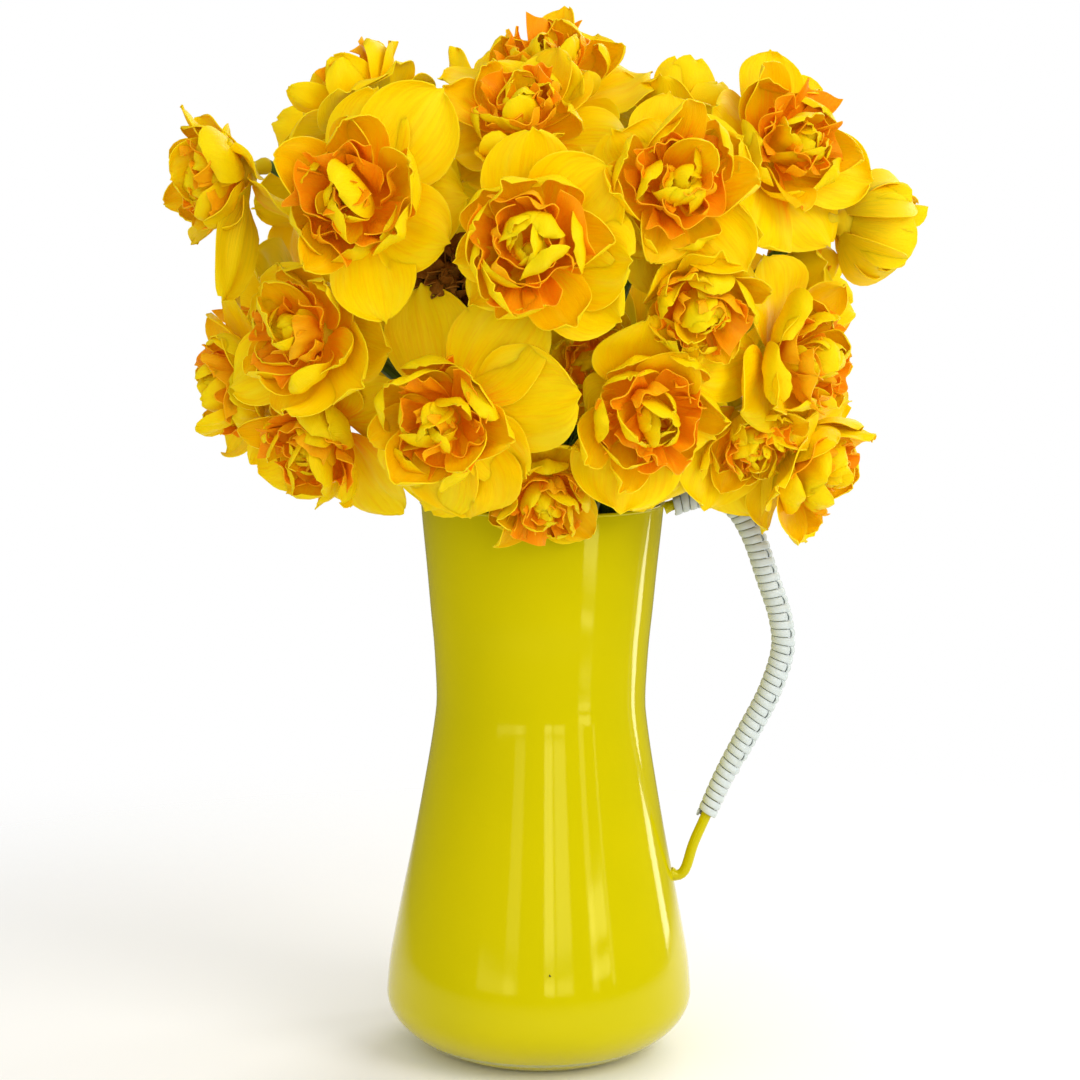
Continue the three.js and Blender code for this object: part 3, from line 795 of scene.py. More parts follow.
@dataclass
class Handle:
    """A bent steel bar, wound with flat white cane that a lengthwise strand locks on its outer side."""
    line: tuple[Pair, ...] = (
        (54.8, 238.4), (63, 241.4), (72.6, 243), (82.6, 238.2), (90, 227), (97, 208), (103, 190),
        (104.2, 177), (99, 158.5), (89.4, 139), (79.6, 119.8), (71.4, 100.6), (67, 90), (63.9, 79.5))
    hook: tuple[Pair, ...] = ((62.4, 77.0), (60.2, 75.9), (58.0, 76.3), (56.9, 76.8))
    weld: Pair = (52.3, 237.4)  # where the bar meets the wall under the rim
    bar_radius: float = 2.3
    wound: Pair = (0.003, 0.885)  # where the cane starts and ends, as shares of the line
    pitch: float = 3.5
    strip_width: float = 3.36
    strip_thickness: float = 1.3
    strip_crown: float = 0.22  # how much lower its edges lie
    turn_steps: int = 26
    wound_radius: float = 5.0
    slim: float = 0.7  # how much thinner the winding is at its lower end
    lifts: Pair = (0.42, -0.85)  # how far a turn lies over or under where the strand crosses it
    lock_angle: float = -20.0
    lock_width: float = 3.5
    lock_thickness: float = 0.85
    plain_turns: int = 8  # turns at the lower end that the strand doesn't reach

    def _route(self, bar: bool = False) -> Route:
        """The handle's line, or the whole bar's with both of its welded ends."""
        line = (self.weld, *self.line, *self.hook) if bar else self.line
        return Route(np.array([(x, 0, z) for x, z in line]) * MM, (-0.3, 0, 1), 600)

    def build_bar(self, enamel: bpy.types.Material) -> None:
        """Sweeps the bar, flared where it is welded to the wall.

        Args:
            enamel: its material.
        """
        route = self._route(bar=True)

        def swept(across: Array, along: Array) -> Array:
            """The bar's skin."""
            flare = 1 + 0.35 * smooth(along, 0.982, 0.998) + 0.25 * smooth(-along, -0.012, 0.0)
            return route.around(along, across * FULL_TURN, flare * self.bar_radius * MM)

        piece = rename(close_up(bend(grid(20, 150), swept)), "handle_steel")
        carry(piece, "inner", 0.0)
        soften(piece)
        hand_over(piece, enamel, "enamel", "handle_bar")

    def _section(self, across: Array, width: float, thickness: float) -> tuple[Array, Array]:
        """A flat strip's rounded cross-section.

        Args:
            across: shares of the way round it.
            width: its width.
            thickness: its thickness.

        Returns:
            The offsets along its width, and along its thickness.
        """
        angle = across * FULL_TURN
        flat = np.sign(np.cos(angle)) * np.abs(np.cos(angle)) ** 0.42 * width / 2
        thick = np.sign(np.sin(angle)) * np.abs(np.sin(angle)) ** 0.72 * thickness / 2
        return flat, thick

    def build_cane(self, cane: bpy.types.Material) -> None:
        """Winds the strip turn by turn, then lays the strand that goes over and under the turns.

        Args:
            cane: its material.
        """
        route = self._route()
        start, end = self.wound
        turns = int((end - start) * route.length / MM / self.pitch)
        per_turn = (end - start) / turns
        lock = math.radians(self.lock_angle)
        locked = turns - self.plain_turns

        def middle_radius(share: Array) -> Array:
            """The winding's radius without its thickness, slimmer over the last quarter."""
            last = np.maximum(0, (share - start) / (end - start) - 0.75) / 0.25
            return self.wound_radius - self.strip_thickness / 2 - self.slim * last

        def winding(across: Array, along: Array) -> Array:
            """The wound strip's skin.

            Args:
                across: shares of the way round the strip.
                along: shares of the way along it.

            Returns:
                The points.
            """
            flat, thick = self._section(across, self.strip_width, self.strip_thickness)
            passed = along * (turns - 1) + 0.5
            angle = passed * FULL_TURN
            share = start + per_turn * passed
            nearest = np.round(passed - lock / FULL_TURN)
            degrees_off = np.abs(passed - lock / FULL_TURN - nearest) * 360
            over = np.where(nearest % 2 == 0, *self.lifts) * (nearest < locked)
            lift = over * (1 - smooth(degrees_off, 18, 30))
            edge = (flat / self.strip_width * 2) ** 4
            radius = middle_radius(share) + lift + thick - self.strip_crown * edge
            moved = share + flat * MM / route.length
            return route.around(moved, -angle, radius * MM)

        wound = close_up(bend(grid(12, (turns - 1) * self.turn_steps), winding))
        count = locked + 1

        def strand(across: Array, along: Array) -> Array:
            """The lengthwise strand's skin.

            Args:
                across: shares of the way round the strand.
                along: shares of the way along it.

            Returns:
                The points.
            """
            flat, thick = self._section(across, self.lock_width, self.lock_thickness)
            passed = along * (count - 0.4) + 0.6
            share = start + per_turn * (passed + lock / FULL_TURN)
            height = 0.05 - 0.68 * np.cos(passed * math.pi)
            radius = middle_radius(share) + height + thick
            return route.around(share, -lock + flat / radius, radius * MM)

        laid = close_up(bend(grid(10, count * 10), strand))
        piece = join("handle_wrap", [wound, laid])
        points = corners_of(piece)
        near = KDTree(len(route.line))
        for i, spot in enumerate(route.line):
            near.insert(spot, i)
        near.balance()
        depth = [self.wound_radius - near.find(spot)[2] / MM for spot in points]
        # how deep each place lies between the turns, for the cane's painted shade
        carry(piece, "edge", np.clip((np.array(depth) - 0.35) / 0.9, 0, 1))
        soften(piece, 60)
        hand_over(piece, cane, "cane", "handle_cane")


# Petals


@dataclass(frozen=True)
class Form:
    """How a kind of petal is shaped. Heights are in millimetres, and curl and twist in radians."""
    across: int  # faces across it
    along: int  # faces from its root to its tip
    widest: float  # share of the length where it is widest
    blunt: float  # power of the rounding at its tip
    taper: float  # power of the narrowing to its tip
    point: float = 0.0  # how far the small point at its tip stands out
    groove: float = 0.0  # depth of the groove down its middle
    fold: float = 0.0  # height of soft lengthwise folds
    wave: float = 0.0  # height of the waves along its edges
    crumple: float = 0.0  # height of its small bumps
    curl: Pair = (0.0, 0.0)  # how far its tip turns in, at least and at most
    twist: float = 0.0  # how far its tip may turn about its length
    sway: float = 0.0  # how far its tip may stand aside, as a share of its length
    pleats: float = 0.0  # height of pleats that fan out to its rim
    teeth: float = 0.0  # depth of the notches in its rim, as a share of its length
    flush: Pair = (0.1, 0.3)  # how far up its flushed root reaches


class Kind(Enum):
    """The kinds of petal in a double daffodil."""
    TEPAL = Form(
        12, 14, widest=0.5, blunt=2.3, taper=0.6, point=1.8, groove=1.5, fold=0.45, wave=2.3, crumple=1.0,
        curl=(-0.45, 0.5), twist=0.22, sway=0.07, flush=(0.0, 0.25))
    INNER = Form(
        10, 11, widest=0.56, blunt=2.3, taper=0.56, point=0.7, groove=0.8, fold=0.45, wave=1.6, crumple=0.8,
        curl=(-0.5, 1.1), twist=0.6, sway=0.16, flush=(0.15, 0.5))
    SPOON = Form(
        10, 10, widest=0.6, blunt=2.5, taper=0.5, point=0.2, groove=0.5, fold=0.35, wave=1.0, crumple=0.45,
        curl=(0.3, 1.8), twist=0.6, sway=0.16, flush=(0.1, 0.55))
    FRILL = Form(
        16, 9, widest=0.9, blunt=3.0, taper=0.3, fold=0.4, wave=1.5, crumple=1.0, curl=(-0.8, 1.1),
        twist=0.5, sway=0.14, pleats=2.2, teeth=0.08, flush=(-0.2, 0.3))
    HEART = Form(
        9, 10, widest=0.6, blunt=2.5, taper=0.5, point=0.2, groove=0.4, fold=0.25, wave=0.7, crumple=0.3,
        curl=(0.3, 1.5), twist=0.6, sway=0.16, flush=(0.2, 0.6))

    @property
    def form(self) -> Form:
        """The kind's shape."""
        return self.value


SPINE_STEPS = 48  # in the middle line of a petal
FLAT = 0.02  # the least bow across a petal, in radians
WAVY_WIDTH = 40  # the width of a petal whose waves and pleats have their full height, in millimetres

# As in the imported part, a petal is tried as it is and then bent, shortened or swung aside until it is
# clear: degrees of bend, share of the length, degrees of swing.
TRIES: tuple[Point, ...] = (
    (0, 1, 0), (-9, 1, 0), (9, 1, 0), (-5, 1, 11), (5, 1, -11), (-18, 0.97, 0), (18, 0.97, 0),
    (-14, 0.97, -12), (14, 0.97, 12), (-28, 0.94, 0), (28, 0.94, 0), (-38, 0.9, 0), (-48, 0.86, 0),
    (38, 0.9, 0), (-58, 0.8, 0), (-22, 0.72, 8), (22, 0.72, -8), (-66, 0.66, 0))


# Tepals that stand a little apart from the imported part's, as in the photo, by their bloom and number:
# degrees of bend, share of the length, degrees of swing, share of the width, degrees of twist.
LOOSE: dict[tuple[str, int], tuple[float, float, float, float, float]] = {
    ("front_left", 0): (0, 0.8, -10, 1, 0), ("front_left", 1): (0, 1.07, -20, 1.15, 0),
    ("front_left", 2): (0, 0.92, -44, 0.9, 0), ("front_left", 3): (30, 0.47, 6, 0.8, 0),
    ("front_left", 4): (0, 1.01, 32, 0.85, 0), ("front_left", 5): (0, 0.74, 24, 1, 0),
    ("side_left", 0): (0, 0.8, -40, 0.9, 0), ("side_left", 1): (0, 0.65, 10, 0.9, 0),
    ("low_left", 4): (0, 0.77, 2, 1, 0), ("low_left", 5): (0, 1.01, -12, 1.15, 0),
    ("front_middle", 0): (0, 0.95, -6, 1, 0), ("front_middle", 1): (19, 1.07, -14, 1.12, 0),
    ("front_middle", 2): (0, 0.92, -30, 0.85, 0), ("front_middle", 3): (-8, 0.56, 4, 0.6, 0),
    ("front_middle", 4): (0, 0.56, -20, 0.55, 0), ("front_middle", 5): (0, 0.89, 32, 1, 0),
    ("middle_left", 0): (0, 1.1, -14, 1.08, 0), ("middle_left", 1): (14, 1.25, -44, 1.15, 0),
    ("middle_left", 2): (8, 1.07, -46, 1.0, 0), ("middle_left", 3): (14, 0.95, 40, 1.25, 0),
    ("middle_left", 4): (0, 0.86, 4, 1.3, 0), ("middle_left", 5): (0, 0.74, -12, 0.8, 0),
    ("over_rim", 0): (0, 0.53, 10, 0.8, 0), ("over_rim", 3): (0, 0.65, 14, 0.8, 0),
    ("over_rim", 5): (0, 0.83, -10, 1, 0), ("over_rim", 4): (0, 1.55, 26, 1, 0),
    ("middle_right", 0): (0, 0.74, -8, 1.1, 0), ("middle_right", 1): (20, 1.04, -4, 1.25, 0),
    ("middle_right", 2): (0, 0.47, 44, 0.8, 0), ("middle_right", 3): (0, 0.95, 38, 1.35, 0),
    ("middle_right", 4): (0, 1.07, -8, 1.35, 0), ("middle_right", 5): (0, 0.65, -14, 0.8, 0),
    ("hanging_right", 3): (0, 1.31, 46, 1.9, 0), ("hanging_right", 4): (0, 1.7, 42, 1.6, 0),
    ("hanging_right", 5): (0, 1.28, -8, 1.3, 0), ("hanging_right", 2): (0, 1.67, 62, 1.3, 0),
    ("side_right", 0): (0, 0.77, -14, 1, 0), ("side_right", 1): (0, 0.89, 4, 1.15, 0),
    ("side_right", 2): (-15, 1.49, 28, 0.8, 0), ("low_right", 4): (0, 0.77, 18, 0.7, 0),
    ("low_right", 5): (-14, 1.04, -10, 0.75, 0), ("low_right", 1): (0, 0.83, -28, 1, 0),
    ("front_right", 0): (0, 0.77, 6, 1, 0), ("front_right", 1): (0, 0.8, -6, 1, 0),
    ("front_right", 2): (0, 0.89, -24, 0.9, 0), ("front_right", 3): (0, 0.65, 28, 0.9, 0),
    ("front_right", 4): (0, 1.16, 26, 1.1, 0), ("front_right", 5): (-14, 0.92, -26, 0.9, 0),
    ("under_right", 4): (0, 0.38, -14, 0.8, 0), ("under_right", 5): (0, 0.65, 14, 0.8, 0),
    ("under_right", 3): (0, 0.38, 0, 0.7, 0), ("under_right", 0): (0, 0.65, -6, 0.8, 0),
    ("upper_right", 1): (0, 1.01, -20, 1, 0), ("upper_right", 2): (0, 0.71, -6, 1, 0),
    ("upper_left", 1): (0, 0.83, -16, 1, 0), ("upper_left", 2): (14, 0.71, 6, 1, 0),
    ("crest_front", 4): (0, 0.71, -28, 1.0, 0), ("far_left", 3): (0, 0.8, 12, 0.55, 50),
    ("far_left", 5): (0, 1.07, -28, 0.55, 55), ("far_left", 4): (25, 0.65, 68, 0.7, 30),
    ("far_left", 2): (14, 0.56, -28, 0.7, 0), ("far_left", 1): (4, 0.77, 78, 0.7, 0),
    ("far_left", 0): (4, 0.38, 30, 0.7, 0), ("upper_right", 3): (0, 1.52, 10, 1.25, 0),
    ("upper_right", 4): (0, 1.0, 24, 1.15, 0), ("crest_front", 3): (0, 0.86, 30, 1.15, 0),
    ("behind_right", 0): (0, 0.95, 24, 1, 0), ("behind_right", 2): (0, 1.55, 12, 1, 0),
    ("side_right", 3): (14, 0.8, -16, 1.2, 0), ("withered", 3): (0, 0.6, 0, 0.8, 0),
    ("withered", 4): (0, 0.45, 0, 0.7, 0), ("withered", 5): (0, 0.5, 0, 0.8, 0),
    ("crest_left", 0): (0, 1.1, 24, 1.25, 0), ("crest_left", 1): (-14, 1.04, -6, 1.2, 0),
}


@dataclass(frozen=True)
class Petal:
    """One petal in its bloom's own axes, in millimetres and radians."""
    kind: Kind
    root: Point
    turn: float  # where it stands round the bloom's axis
    length: float
    width: float
    tilts: Pair  # how far it leans out at its root and at its tip
    cup: float  # how far its edges stand up
    seed: int
    root_half: float = 2.2  # half of its width at the root
    lift: Pair = (0.0, 0.0)  # how far each edge is raised
    calm: float = 1.0  # scales its folds, waves and curl
    twist: float = 0.0

    def tried(self, bend_by: float, share: float, swing: float) -> "Petal":
        """The petal changed in one way.

        Args:
            bend_by: degrees that its tip leans out further, its root by less.
            share: the share of its length that is left.
            swing: degrees that it is turned about the bloom's axis.

        Returns:
            The changed petal.
        """
        change = math.radians(bend_by)
        return replace(
            self, turn=self.turn + math.radians(swing), length=self.length * share,
            tilts=(self.tilts[0] + change * 0.6, self.tilts[1] + change))

    def mark(self, rows: tuple[float, ...], flared: bool) -> Point:
        """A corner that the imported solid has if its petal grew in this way.

        Args:
            rows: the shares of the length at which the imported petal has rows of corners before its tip.
            flared: whether its tip is an edge, as a frill's is, instead of a point.

        Returns:
            The corner at its tip, in the bloom's own axes.
        """
        out = np.array([math.cos(self.turn), math.sin(self.turn), 0])
        aside = np.array([-math.sin(self.turn), math.cos(self.turn), 0])
        spot, along = np.array(self.root, float), 0.0
        start, end = self.tilts
        for share in (*rows, 1.0):
            middle = start + (end - start) * (along + share) / 2
            step = (share - along) * self.length
            spot = spot + out * math.sin(middle) * step + np.array([0, 0, math.cos(middle) * step])
            along = share
        if flared:
            inward = out * -math.cos(end) + np.array([0, 0, math.sin(end)])
            spot = spot - aside * self.width / 2 + inward * self.cup * self.width / 2
        return tuple(spot)

    def points(self, u: Array, v: Array) -> Array:
        """The petal's face as a sheet.

        Args:
            u: shares across it.
            v: shares from its root to its tip.

        Returns:
            A point for each, in the bloom's own axes.
        """
        form, draw = self.kind.form, random.Random(self.seed)
        s = 1 - 2 * u  # from 1 at one edge to -1 at the other
        t = 1 - (1 - v) ** 1.25  # the rows stand closer towards its tip
        phases = [draw.uniform(0, FULL_TURN) for _ in range(10)]
        if form.teeth:
            notch = 0.5 + 0.5 * np.sin(s * draw.uniform(2.5, 4.5) + phases[0])
            small = 0.5 + 0.5 * np.sin(s * draw.uniform(5, 7.5) + phases[2])
            t = t * (1 - form.teeth * (0.7 * notch + 0.5 * small))
        out, up, leaning = self._spine(t, draw)
        half, broad = self._half_width(t, draw.uniform(-0.06, 0.06), draw.uniform(0.8, 1.3))
        bow = 2 * self.cup * (0.55 + 0.45 * t) * draw.uniform(0.85, 1.2)
        bow = np.where(np.abs(bow) < FLAT, FLAT, bow)
        side = half * np.sin(bow * s) / bow
        raised = half * (1 - np.cos(bow * s)) / bow
        raised = raised + np.where(s < 0, *self.lift) * broad * np.abs(s) ** 1.5
        raised = self._creased(raised, s, t, broad, draw, phases)
        tip = smooth(t, 0.86, 1.0) * np.maximum(0, 1 - np.abs(s) * 1.7) ** 1.5 * form.point
        turn_by = draw.uniform(-1, 1) * form.twist * self.calm * t + self.twist * smooth(t, 0.0, 0.45)
        side, raised = (side * np.cos(turn_by) - raised * np.sin(turn_by),
                        side * np.sin(turn_by) + raised * np.cos(turn_by))
        side = side + draw.uniform(-1, 1) * form.sway * self.length * t * t
        out = out + np.sin(leaning) * tip - np.cos(leaning) * raised
        up = up + np.cos(leaning) * tip + np.sin(leaning) * raised
        cos, sin = math.cos(self.turn), math.sin(self.turn)
        x = self.root[0] + out * cos - side * sin
        y = self.root[1] + out * sin + side * cos
        return np.stack([x, y, self.root[2] + up], 1)

    def _spine(self, t: Array, draw: random.Random) -> tuple[Array, Array, Array]:
        """Its middle line, which leans out from its root on and curls in at its tip.

        Args:
            t: shares of the length.
            draw: the petal's own random numbers.

        Returns:
            How far out and how far up each place is, and how far the line leans there.
        """
        form = self.kind.form
        fine = np.linspace(0, 1, SPINE_STEPS + 1)
        curl = draw.uniform(*form.curl) * self.calm
        tilt = self.tilts[0] + (self.tilts[1] - self.tilts[0]) * fine
        tilt = tilt - curl * np.clip((fine - 0.55) / 0.45, 0, 1) ** 1.6
        tilt = tilt + draw.uniform(-0.2, 0.2) * self.calm * np.sin(fine * math.pi) * (form.curl[1] > 0.5)
        step = self.length / SPINE_STEPS
        half_tilt = (tilt[1:] + tilt[:-1]) / 2
        out = np.interp(t, fine, np.concatenate([[0], np.cumsum(np.sin(half_tilt))]) * step)
        up = np.interp(t, fine, np.concatenate([[0], np.cumsum(np.cos(half_tilt))]) * step)
        return out, up, np.interp(t, fine, tilt)

    def _creased(self, raised: Array, s: Array, t: Array, broad: Array, draw: random.Random,
                 phases: list[float]) -> Array:
        """Adds its groove, folds, waves, bumps and pleats.

        Args:
            raised: the heights without them.
            s: places across it, from 1 to -1.
            t: shares of the length.
            broad: shares of its widest half.
            draw: the petal's own random numbers.
            phases: where its waves start.

        Returns:
            The heights with them.
        """
        form, calm, any_of = self.kind.form, self.calm, draw.uniform
        wide = self.width / WAVY_WIDTH
        groove = form.groove * calm * np.exp(-(s / 0.17) ** 2)
        raised = raised - groove * np.sin(math.pi * np.clip(t, 0, 1)) ** 0.6
        ripple = np.sin(s * any_of(4.5, 6.5) + phases[3]) + 0.7 * np.sin(s * any_of(7, 9.5) + phases[4])
        raised = raised + form.fold * ripple * t ** 0.6 * broad * calm
        edges = np.abs(s) ** 2.2 * t ** 0.8
        swings = np.sin(FULL_TURN * t * any_of(0.7, 1.5) + np.where(s < 0, phases[5], phases[6]))
        raised = raised + form.wave * wide ** 0.5 * edges * swings * calm
        bumps = (np.sin(s * any_of(2, 4) + t * any_of(4, 8) + phases[7])
                 + np.sin(s * any_of(-5, -3) + t * any_of(6, 11) + phases[8]))
        raised = raised + form.crumple * bumps * t * calm
        if form.pleats:
            fans = np.sin(s * any_of(3, 5.5) + phases[9]) + 0.4 * np.sin(s * any_of(5.5, 8) + phases[8])
            raised = raised + form.pleats * wide * fans * smooth(t, 0.15, 1.0) * calm
        return raised

    def _half_width(self, t: Array, shift: float, slim: float) -> tuple[Array, Array]:
        """Half of the width along the petal, and the same as a share of its widest half.

        Args:
            t: shares of the length.
            shift: how far its widest place is moved.
            slim: how much more pointed its tip is than its kind's.

        Returns:
            Half widths in millimetres, and their shares.
        """
        form, full = self.kind.form, self.width / 2
        root = min(self.root_half / full, 0.6)
        if form.teeth:
            broad = root + (1 - root) * np.clip(t, 0, 1) ** 0.8
            return broad * full, broad
        widest = form.widest + shift
        grown = np.sin(np.clip(t / widest, 0, 1) * math.pi / 2) ** 0.9
        ended = np.clip((t * 0.988 - widest) / (1 - widest), 0, 1)
        broad = (root + (1 - root) * grown) * (1 - ended ** form.blunt) ** (form.taper * slim)
        return broad * full, broad


# Flowers


SEAT_DEPTH = 14  # from a bloom's middle back to its cup, in millimetres


@dataclass(frozen=True)
class Bloom:
    """Where a bloom is, where it faces and how far it is open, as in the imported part."""
    name: str
    at: Point  # its middle
    face: Pair  # azimuth from the front and elevation, in degrees
    turn: float  # degrees about its own axis
    width: float
    open: float  # from 0, closed, to 1, flat
    nod: float = 0.0  # degrees that its upper tepals fall forward
    reach: float = 0.0  # its tepals' own reach, where it isn't half of the width
    plain: bool = False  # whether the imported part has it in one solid
    shut: Point = (0.0, 0.0, 0.0)  # tepals closed round it: degrees at root and tip, share of length

    @property
    def withered(self) -> bool:
        """Whether it is the withered one."""
        return self.name == "withered"

    @property
    def size(self) -> float:
        """Its width as a share of a common bloom's."""
        return self.width / 80

    @property
    def spread(self) -> float:
        """How far its inner petals lean out, where 1 is the most."""
        return 0.6 + 0.4 * self.open

    def forward(self) -> Array:
        """The direction that the bloom faces.

        Returns:
            It, with a length of 1.
        """
        azimuth, elevation = (math.radians(angle) for angle in self.face)
        flat = math.cos(elevation)
        return np.array([math.sin(azimuth) * flat, -math.cos(azimuth) * flat, math.sin(elevation)])

    def seat(self) -> Array:
        """The middle of the cup that the petals grow from."""
        return np.array(self.at, float) - self.forward() * SEAT_DEPTH

    def axes(self) -> Array:
        """The bloom's own axes.

        Returns:
            They as the columns of a matrix, of which the last points forward.
        """
        forward = self.forward()
        right = np.cross((0, 0, 1), forward)
        right /= np.linalg.norm(right)
        top = np.cross(forward, right)
        turn = math.radians(self.turn)
        first = right * math.cos(turn) + top * math.sin(turn)
        second = top * math.cos(turn) - right * math.sin(turn)
        return np.stack([first, second, forward], 1)


BLOOMS: tuple[Bloom, ...] = (
    Bloom("far_left", (-137, -34, 375), (-66, -16), 20, 78, 0.74, nod=66, reach=50),
    Bloom("upper_left", (-79, -40, 413), (-110, 52), 10, 76, 0.85),
    Bloom("front_left", (-73, -106, 368), (-14, 4), 12, 90, 1),
    Bloom("crest_left", (0, -48, 421), (-8, 56), 8, 80, 0.9),
    Bloom("crest_front", (-9, -88, 403), (-8, 40), 0, 74, 0.8),
    Bloom("crest_right", (57, -18, 408), (150, 58), 25, 72, 0.85),
    Bloom("upper_right", (98, -64, 391), (36, 16), 40, 82, 0.75),
    Bloom("far_right", (138, -34, 358), (106, -8), 5, 62, 0.2, shut=(74, -20, 1.16)),
    Bloom("front_right", (50, -108, 375), (8, 8), 30, 86, 1),
    Bloom("front_middle", (-6, -124, 351), (-2, 4), 0, 92, 1),
    Bloom("under_right", (61, -98, 327), (14, -24), 15, 70, 0.65),
    Bloom("side_right", (104, -70, 306), (56, 0), 50, 82, 0.9),
    Bloom("low_right", (114, -34, 260), (66, -24), 8, 86, 0.85),
    Bloom("hanging_right", (86, -62, 270), (24, -44), 22, 60, 0.35),
    Bloom("middle_right", (42, -94, 286), (12, -14), 44, 84, 0.85),
    Bloom("middle_left", (-39, -100, 283), (-18, -8), 28, 90, 1),
    Bloom("over_rim", (1, -73, 248), (4, -34), 14, 66, 0.6),
    Bloom("side_left", (-97, -78, 316), (-42, 8), 33, 84, 0.85),
    Bloom("outer_left", (-129, -30, 292), (-68, -8), 48, 78, 0.85),
    Bloom("low_left", (-93, -54, 269), (-34, -26), 18, 82, 0.85),
    Bloom("deep_right", (20, -64, 302), (4, -2), 2, 54, 0.5),
    Bloom("behind_right", (110, -14, 336), (92, 6), 36, 70, 0.7),
    Bloom("withered", (-39, -84, 335), (-10, 0), 0, 54, 0.5, plain=True),
    Bloom("back_crest", (-16, 38, 414), (175, 64), 12, 82, 0.95, plain=True),
    Bloom("back_upper_left", (-92, 50, 384), (-135, 26), 30, 88, 0.9, plain=True),
    Bloom("back_upper_right", (66, 60, 386), (142, 28), 6, 88, 0.95, plain=True),
    Bloom("back_middle", (-12, 104, 360), (-175, 12), 21, 92, 1, plain=True),
    Bloom("back_outer_left", (-122, 44, 316), (-112, -4), 41, 84, 0.85, plain=True),
    Bloom("back_outer_right", (116, 50, 318), (112, -6), 17, 84, 0.9, plain=True),
    Bloom("back_low_left", (-62, 84, 290), (-150, -18), 3, 88, 0.9, plain=True),
    Bloom("back_low_right", (52, 92, 294), (155, -16), 27, 90, 0.95, plain=True),
)


@dataclass(frozen=True)
class Ring:
    """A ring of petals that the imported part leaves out. A pair holds the limits of what is drawn."""
    kind: Kind
    count: int
    radius: float
    height: float  # of their roots on the cup
    length: Pair
    width: Pair
    root_tilt: Pair
    tip_tilt: Pair
    cup: Pair
    first: float = 0.5  # where the first petal stands, in steps from petal to petal
    root_half: float = 1.8


YELLOW_RINGS: tuple[Ring, ...] = (
    Ring(Kind.INNER, 5, 5.2, 2.2, (26, 37), (17, 26), (50, 82), (0, 70), (0.15, 0.5), 0.2, 2),
    Ring(Kind.SPOON, 4, 4.0, 4.6, (21, 31), (16, 24), (14, 64), (-40, 44), (0.25, 0.7)),
    Ring(Kind.HEART, 3, 2.4, 9.0, (16, 24), (13, 19), (0, 50), (-50, 30), (0.35, 0.8), 0, 1.6),
    Ring(Kind.HEART, 1, 0.8, 10.4, (13, 18), (11, 15), (0, 24), (-30, 40), (0.4, 0.9), 0.2, 1.3),
)
ORANGE_RINGS: tuple[Ring, ...] = (
    Ring(Kind.FRILL, 5, 4.4, 5.0, (18, 27), (17, 26), (32, 74), (-4, 60), (0.1, 0.45), 0.3),
    Ring(Kind.FRILL, 4, 2.0, 9.0, (13, 21), (13, 20), (0, 44), (-30, 36), (0.1, 0.6), 0.1),
)
TEPAL_ROWS: tuple[float, ...] = (0.5, 0.86)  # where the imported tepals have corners, in shares of their length
SMALL_ROWS: tuple[float, ...] = (0.6,)  # and the smaller petals


